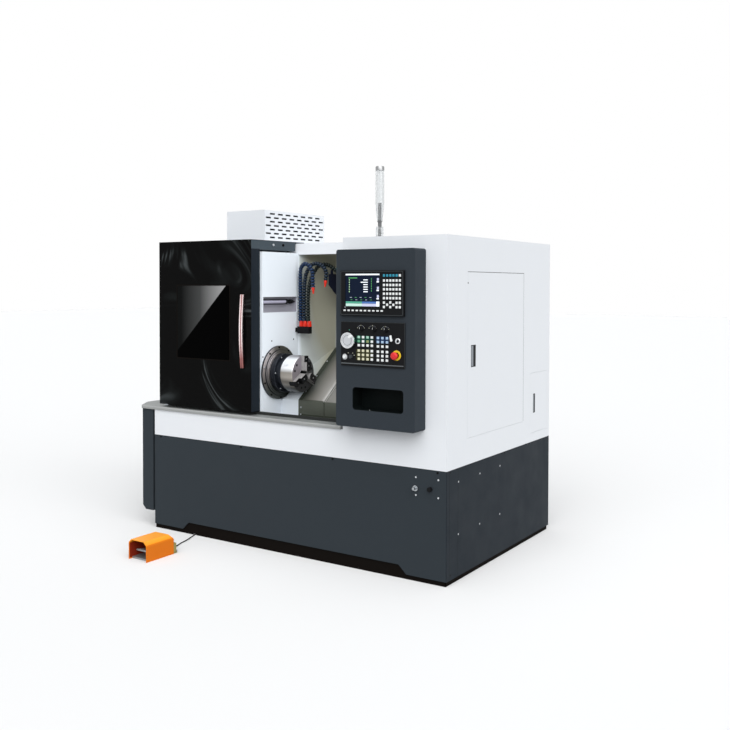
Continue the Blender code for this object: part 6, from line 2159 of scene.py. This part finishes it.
@dataclass
class Coolant:
    """The coolant manifold, its nuts, and the ball-and-socket hoses with their nozzles."""

    nut_x: tuple[float, ...] = (0.770, 0.797, 0.826)
    rise_y: float = 0.3775
    nut_lean: float = 0.009
    nut_z: Span = (1.1513, 1.198)
    pitch: float = 0.016
    ball_r: float = 0.0122
    bends: tuple[tuple[Point, ...], ...] = (
        (
            (0.770, 0.3775, 1.330), (0.771, 0.376, 1.440), (0.780, 0.371, 1.480), (0.810, 0.364, 1.503),
            (0.846, 0.359, 1.492), (0.868, 0.358, 1.455), (0.874, 0.358, 1.372)
        ),
        (
            (0.797, 0.3775, 1.330), (0.797, 0.384, 1.400), (0.802, 0.392, 1.450), (0.830, 0.400, 1.497),
            (0.872, 0.404, 1.504), (0.912, 0.404, 1.486), (0.933, 0.401, 1.452), (0.932, 0.397, 1.410)
        ),
        (
            (0.826, 0.3775, 1.330), (0.828, 0.392, 1.400), (0.836, 0.412, 1.450), (0.862, 0.434, 1.494),
            (0.904, 0.446, 1.500), (0.950, 0.452, 1.476), (1.000, 0.455, 1.436), (1.040, 0.456, 1.392),
            (1.050, 0.456, 1.335)
        )
    )

    def build(self) -> None:
        """Builds the manifold, nuts, hoses and nozzles."""
        self.manifold()
        self.bracket()
        for k, bends in enumerate(self.bends):
            self.hose(k, bends)

    def bracket(self) -> None:
        """The folded sheet on the back wall that carries the rear hose."""
        bracket = Piece("hose_bracket", "black_plastic", BRACKET)
        plate = [
            (0.4207, 1.3861), (0.4207, 1.4465), (0.4400, 1.4465), (0.4420, 1.4700), (0.4620, 1.4700),
            (0.4640, 1.4465), (0.5997, 1.4465), (0.5997, 1.2900), (0.4876, 1.3342)
        ]
        bracket.add(prism(plate, Axis.X, (0.9340, 0.9365), 0.0005, 1))
        bracket.add(block((0.9340, 0.9600), (0.5975, 0.5997), (1.3000, 1.4400), 0.0004, 1))
        bracket.done()

    def manifold(self) -> None:
        """The black manifold block with a hexagon nut under each hose."""
        block_piece = Piece("manifold_block", "black_plastic", BLACK_MOULDING)
        block_piece.add(block((0.7600, 0.8400), (0.361, 0.394), (1.111, 1.151), 0.002))
        block_piece.add(block((0.7403, 0.7620), (0.369, 0.386), (1.119, 1.143), 0.001))
        block_piece.use(NOZZLE_ORANGE)
        for x, links in zip(self.nut_x, (LINK_BLUE, LINK_DEEP_BLUE, LINK_DARK_GREEN)):
            low, tall = self.nut_z[0] - 0.0008, self.nut_z[1] - self.nut_z[0] + 0.0008
            profile = [
                (0, 0), (0, 0.0122), (0.0015, 0.0132), (0.014, 0.0132), (0.016, 0.0122), (0.0280, 0.0122),
                (0.0310, 0.0095), (0.0310, 0)
            ]
            block_piece.use(NOZZLE_ORANGE)
            block_piece.add(turned(profile, (x + self.nut_lean, self.rise_y, low), (0, 0, 1), 6))
            block_piece.use(links)
            block_piece.add(turned(
                [
                    (0.0300, 0), (0.0300, 0.0085), (0.0330, 0.0118), (tall - 0.002, 0.0118), (tall, 0.0095),
                    (tall, 0)
                ],
                (x, self.rise_y, low), (0, 0, 1), 20
            ))
        block_piece.done("coolant_manifold")

    def hose(self, k: int, bends: Sequence[Point]) -> None:
        """One hose of ball-and-socket links, with its nozzle if it ends in sight.

        Args:
            k: The hose's number, from 0 at the front.
            bends: The points it passes after its nut.
        """
        finish = (LINK_BLUE, LINK_DEEP_BLUE, LINK_DARK_GREEN)[k]
        start = (self.nut_x[k], self.rise_y, self.nut_z[1] + FIT)
        steps = 8
        path = smooth_path([start, *bends], self.pitch / steps)
        shares = (0.62, 0.86, 0.98, 1.0, 1.0, 0.94, 0.80, 0.60)
        sides = 20
        hose = Piece(f"hose_{k + 1}_links", "navy_plastic", finish)
        hose.add(swept(path, [self.ball_r * shares[i % steps] for i in range(len(path))], sides))
        hose.shape.faces.ensure_lookup_table()
        for i in range((len(path) - 1) * sides):
            hose.shape.faces[i].material_index = int(i // sides % steps in (0, 6, 7))
        hose.use(LINK_GAP)
        hose.done(f"coolant_hose_{k + 1}")
        if k == 2:
            return
        end, ahead = path[-1], (path[-1] - path[-3]).normalized()
        nozzle = Piece(f"nozzle_{k + 1}_tip", "orange_plastic", NOZZLE_ORANGE)
        profile = [
            (0.0003, 0), (0.0003, 0.0085), (0.006, 0.0095), (0.010, 0.0095), (0.016, 0.0072),
            (0.034, 0.0042), (0.036, 0.0040), (0.036, 0.0024), (0.030, 0.0024), (0.030, 0)
        ]
        nozzle.add(turned(profile, tuple(end), tuple(ahead), 20))
        nozzle.done(f"coolant_nozzle_{k + 1}")


@dataclass
class WorkLamp:
    """The tubular work lamp in its recess beside the spindle."""

    y: Span = (0.082, 0.392)
    z: Span = (1.228, 1.325)
    tube_x: float = 0.719
    tube_z: float = 1.291

    def build(self) -> None:
        """Dresses the recess and builds the tube and its gland."""
        dress_nodes({"lamp_tray": RECESS})
        tube = Piece("lamp_tube_frosted", "clear_plastic", LAMP_FROST)
        tube.add(disc((self.tube_x, 0.0855, self.tube_z), (0, 1, 0), 0.0100, 0.2265, 28))
        tube.use(BLACK_MOULDING)
        for z in (self.tube_z + 0.0130, self.tube_z - 0.0130):
            tube.add(block(
                (self.tube_x + 0.002, self.tube_x + 0.012), (0.0855, 0.316), about(z, 0.0016), 0.0005, 1
            ))
        tube.add(disc((self.tube_x, 0.3012, self.tube_z), (0, 1, 0), 0.0104, 0.010, 28))
        tube.done("lamp_tube")
        gland = Piece("lamp_cable_gland", "black_plastic", BLACK_MOULDING)
        gland.add(turned(
            [
                (0, 0), (0, 0.0110), (0.005, 0.0110), (0.007, 0.0058), (0.026, 0.0058), (0.029, 0.0125),
                (0.048, 0.0125), (0.053, 0.0080), (0.0764, 0.0045), (0.0764, 0)
            ],
            (self.tube_x, 0.3123, self.tube_z), (0, 1, 0), 24
        ))
        gland.done("lamp_gland")


@dataclass
class SignalLamp:
    """The signal lamp on the roof."""

    at: tuple[float, float] = (1.415, 0.200)
    roof: float = 1.6203
    cup: float = 1.801
    top: float = 1.988

    def build(self) -> None:
        """Builds the post, the cup and the clear lens with its light column."""
        base = (self.at[0], self.at[1], self.roof)
        rise = self.cup - self.roof
        post = Piece("beacon_post", "stainless", POST_STEEL)
        profile = [
            (0, 0), (0, 0.0215), (0.003, 0.0215), (0.003, 0.0080), (0.062, 0.0080), (0.062, 0.0095),
            (0.086, 0.0095), (0.086, 0.0135), (0.090, 0.0135), (0.090, 0)
        ]
        post.use(LAMP_CORE)
        post.add(turned(profile, base, (0, 0, 1), 40))
        post.add(turned([(0.0900, 0), (0.0900, 0.0085), (rise, 0.0085), (rise, 0)], base, (0, 0, 1), 24))
        post.use(LENS)
        post.add(turned(
            [(0.0032, 0.0175), (0.0032, 0.0195), (0.0610, 0.0195), (0.0610, 0.0175)], base, (0, 0, 1), 40
        ))
        post.add(turned(
            [(0.0902, 0.0118), (0.0902, 0.0136), (rise, 0.0226), (rise, 0.0208)], base, (0, 0, 1), 40
        ))
        post.done("beacon_base")
        lens = Piece("beacon_clear_lens", "clear_plastic", LENS)
        foot = (self.at[0], self.at[1], self.cup + FIT)
        high = self.top - self.cup - FIT
        wall = 0.0018
        lens.add(turned(
            [(0, 0.0226 - wall), (0, 0.0226), (high - 0.021, 0.0226), (high - 0.021, 0.0226 - wall)], foot,
            (0, 0, 1), 48
        ))
        lens.use(POST_STEEL)
        lens.add(turned(
            [(high - 0.0208, 0), (high - 0.0208, 0.0226), (high - 0.004, 0.0226), (high, 0.0200), (high, 0)],
            foot, (0, 0, 1), 40
        ))
        lens.done("beacon_lens")


def main() -> None:
    """Builds the scene in order."""
    logging.basicConfig(level=logging.INFO, format="%(message)s")
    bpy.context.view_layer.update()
    studio = Studio()
    studio.set_camera()
    switch = FootSwitch()
    switch.run_cord()
    studio.lay_floor()
    studio.hang_lights()
    for assembly in (
        switch, Enclosure(), SlidingDoor(), ControlBox(), Spindle(), WayCovers(), Coolant(), WorkLamp(),
        SignalLamp()
    ):
        assembly.build()
        LOG.info("built %s", type(assembly).__name__)


if __name__ == "__main__":
    main()
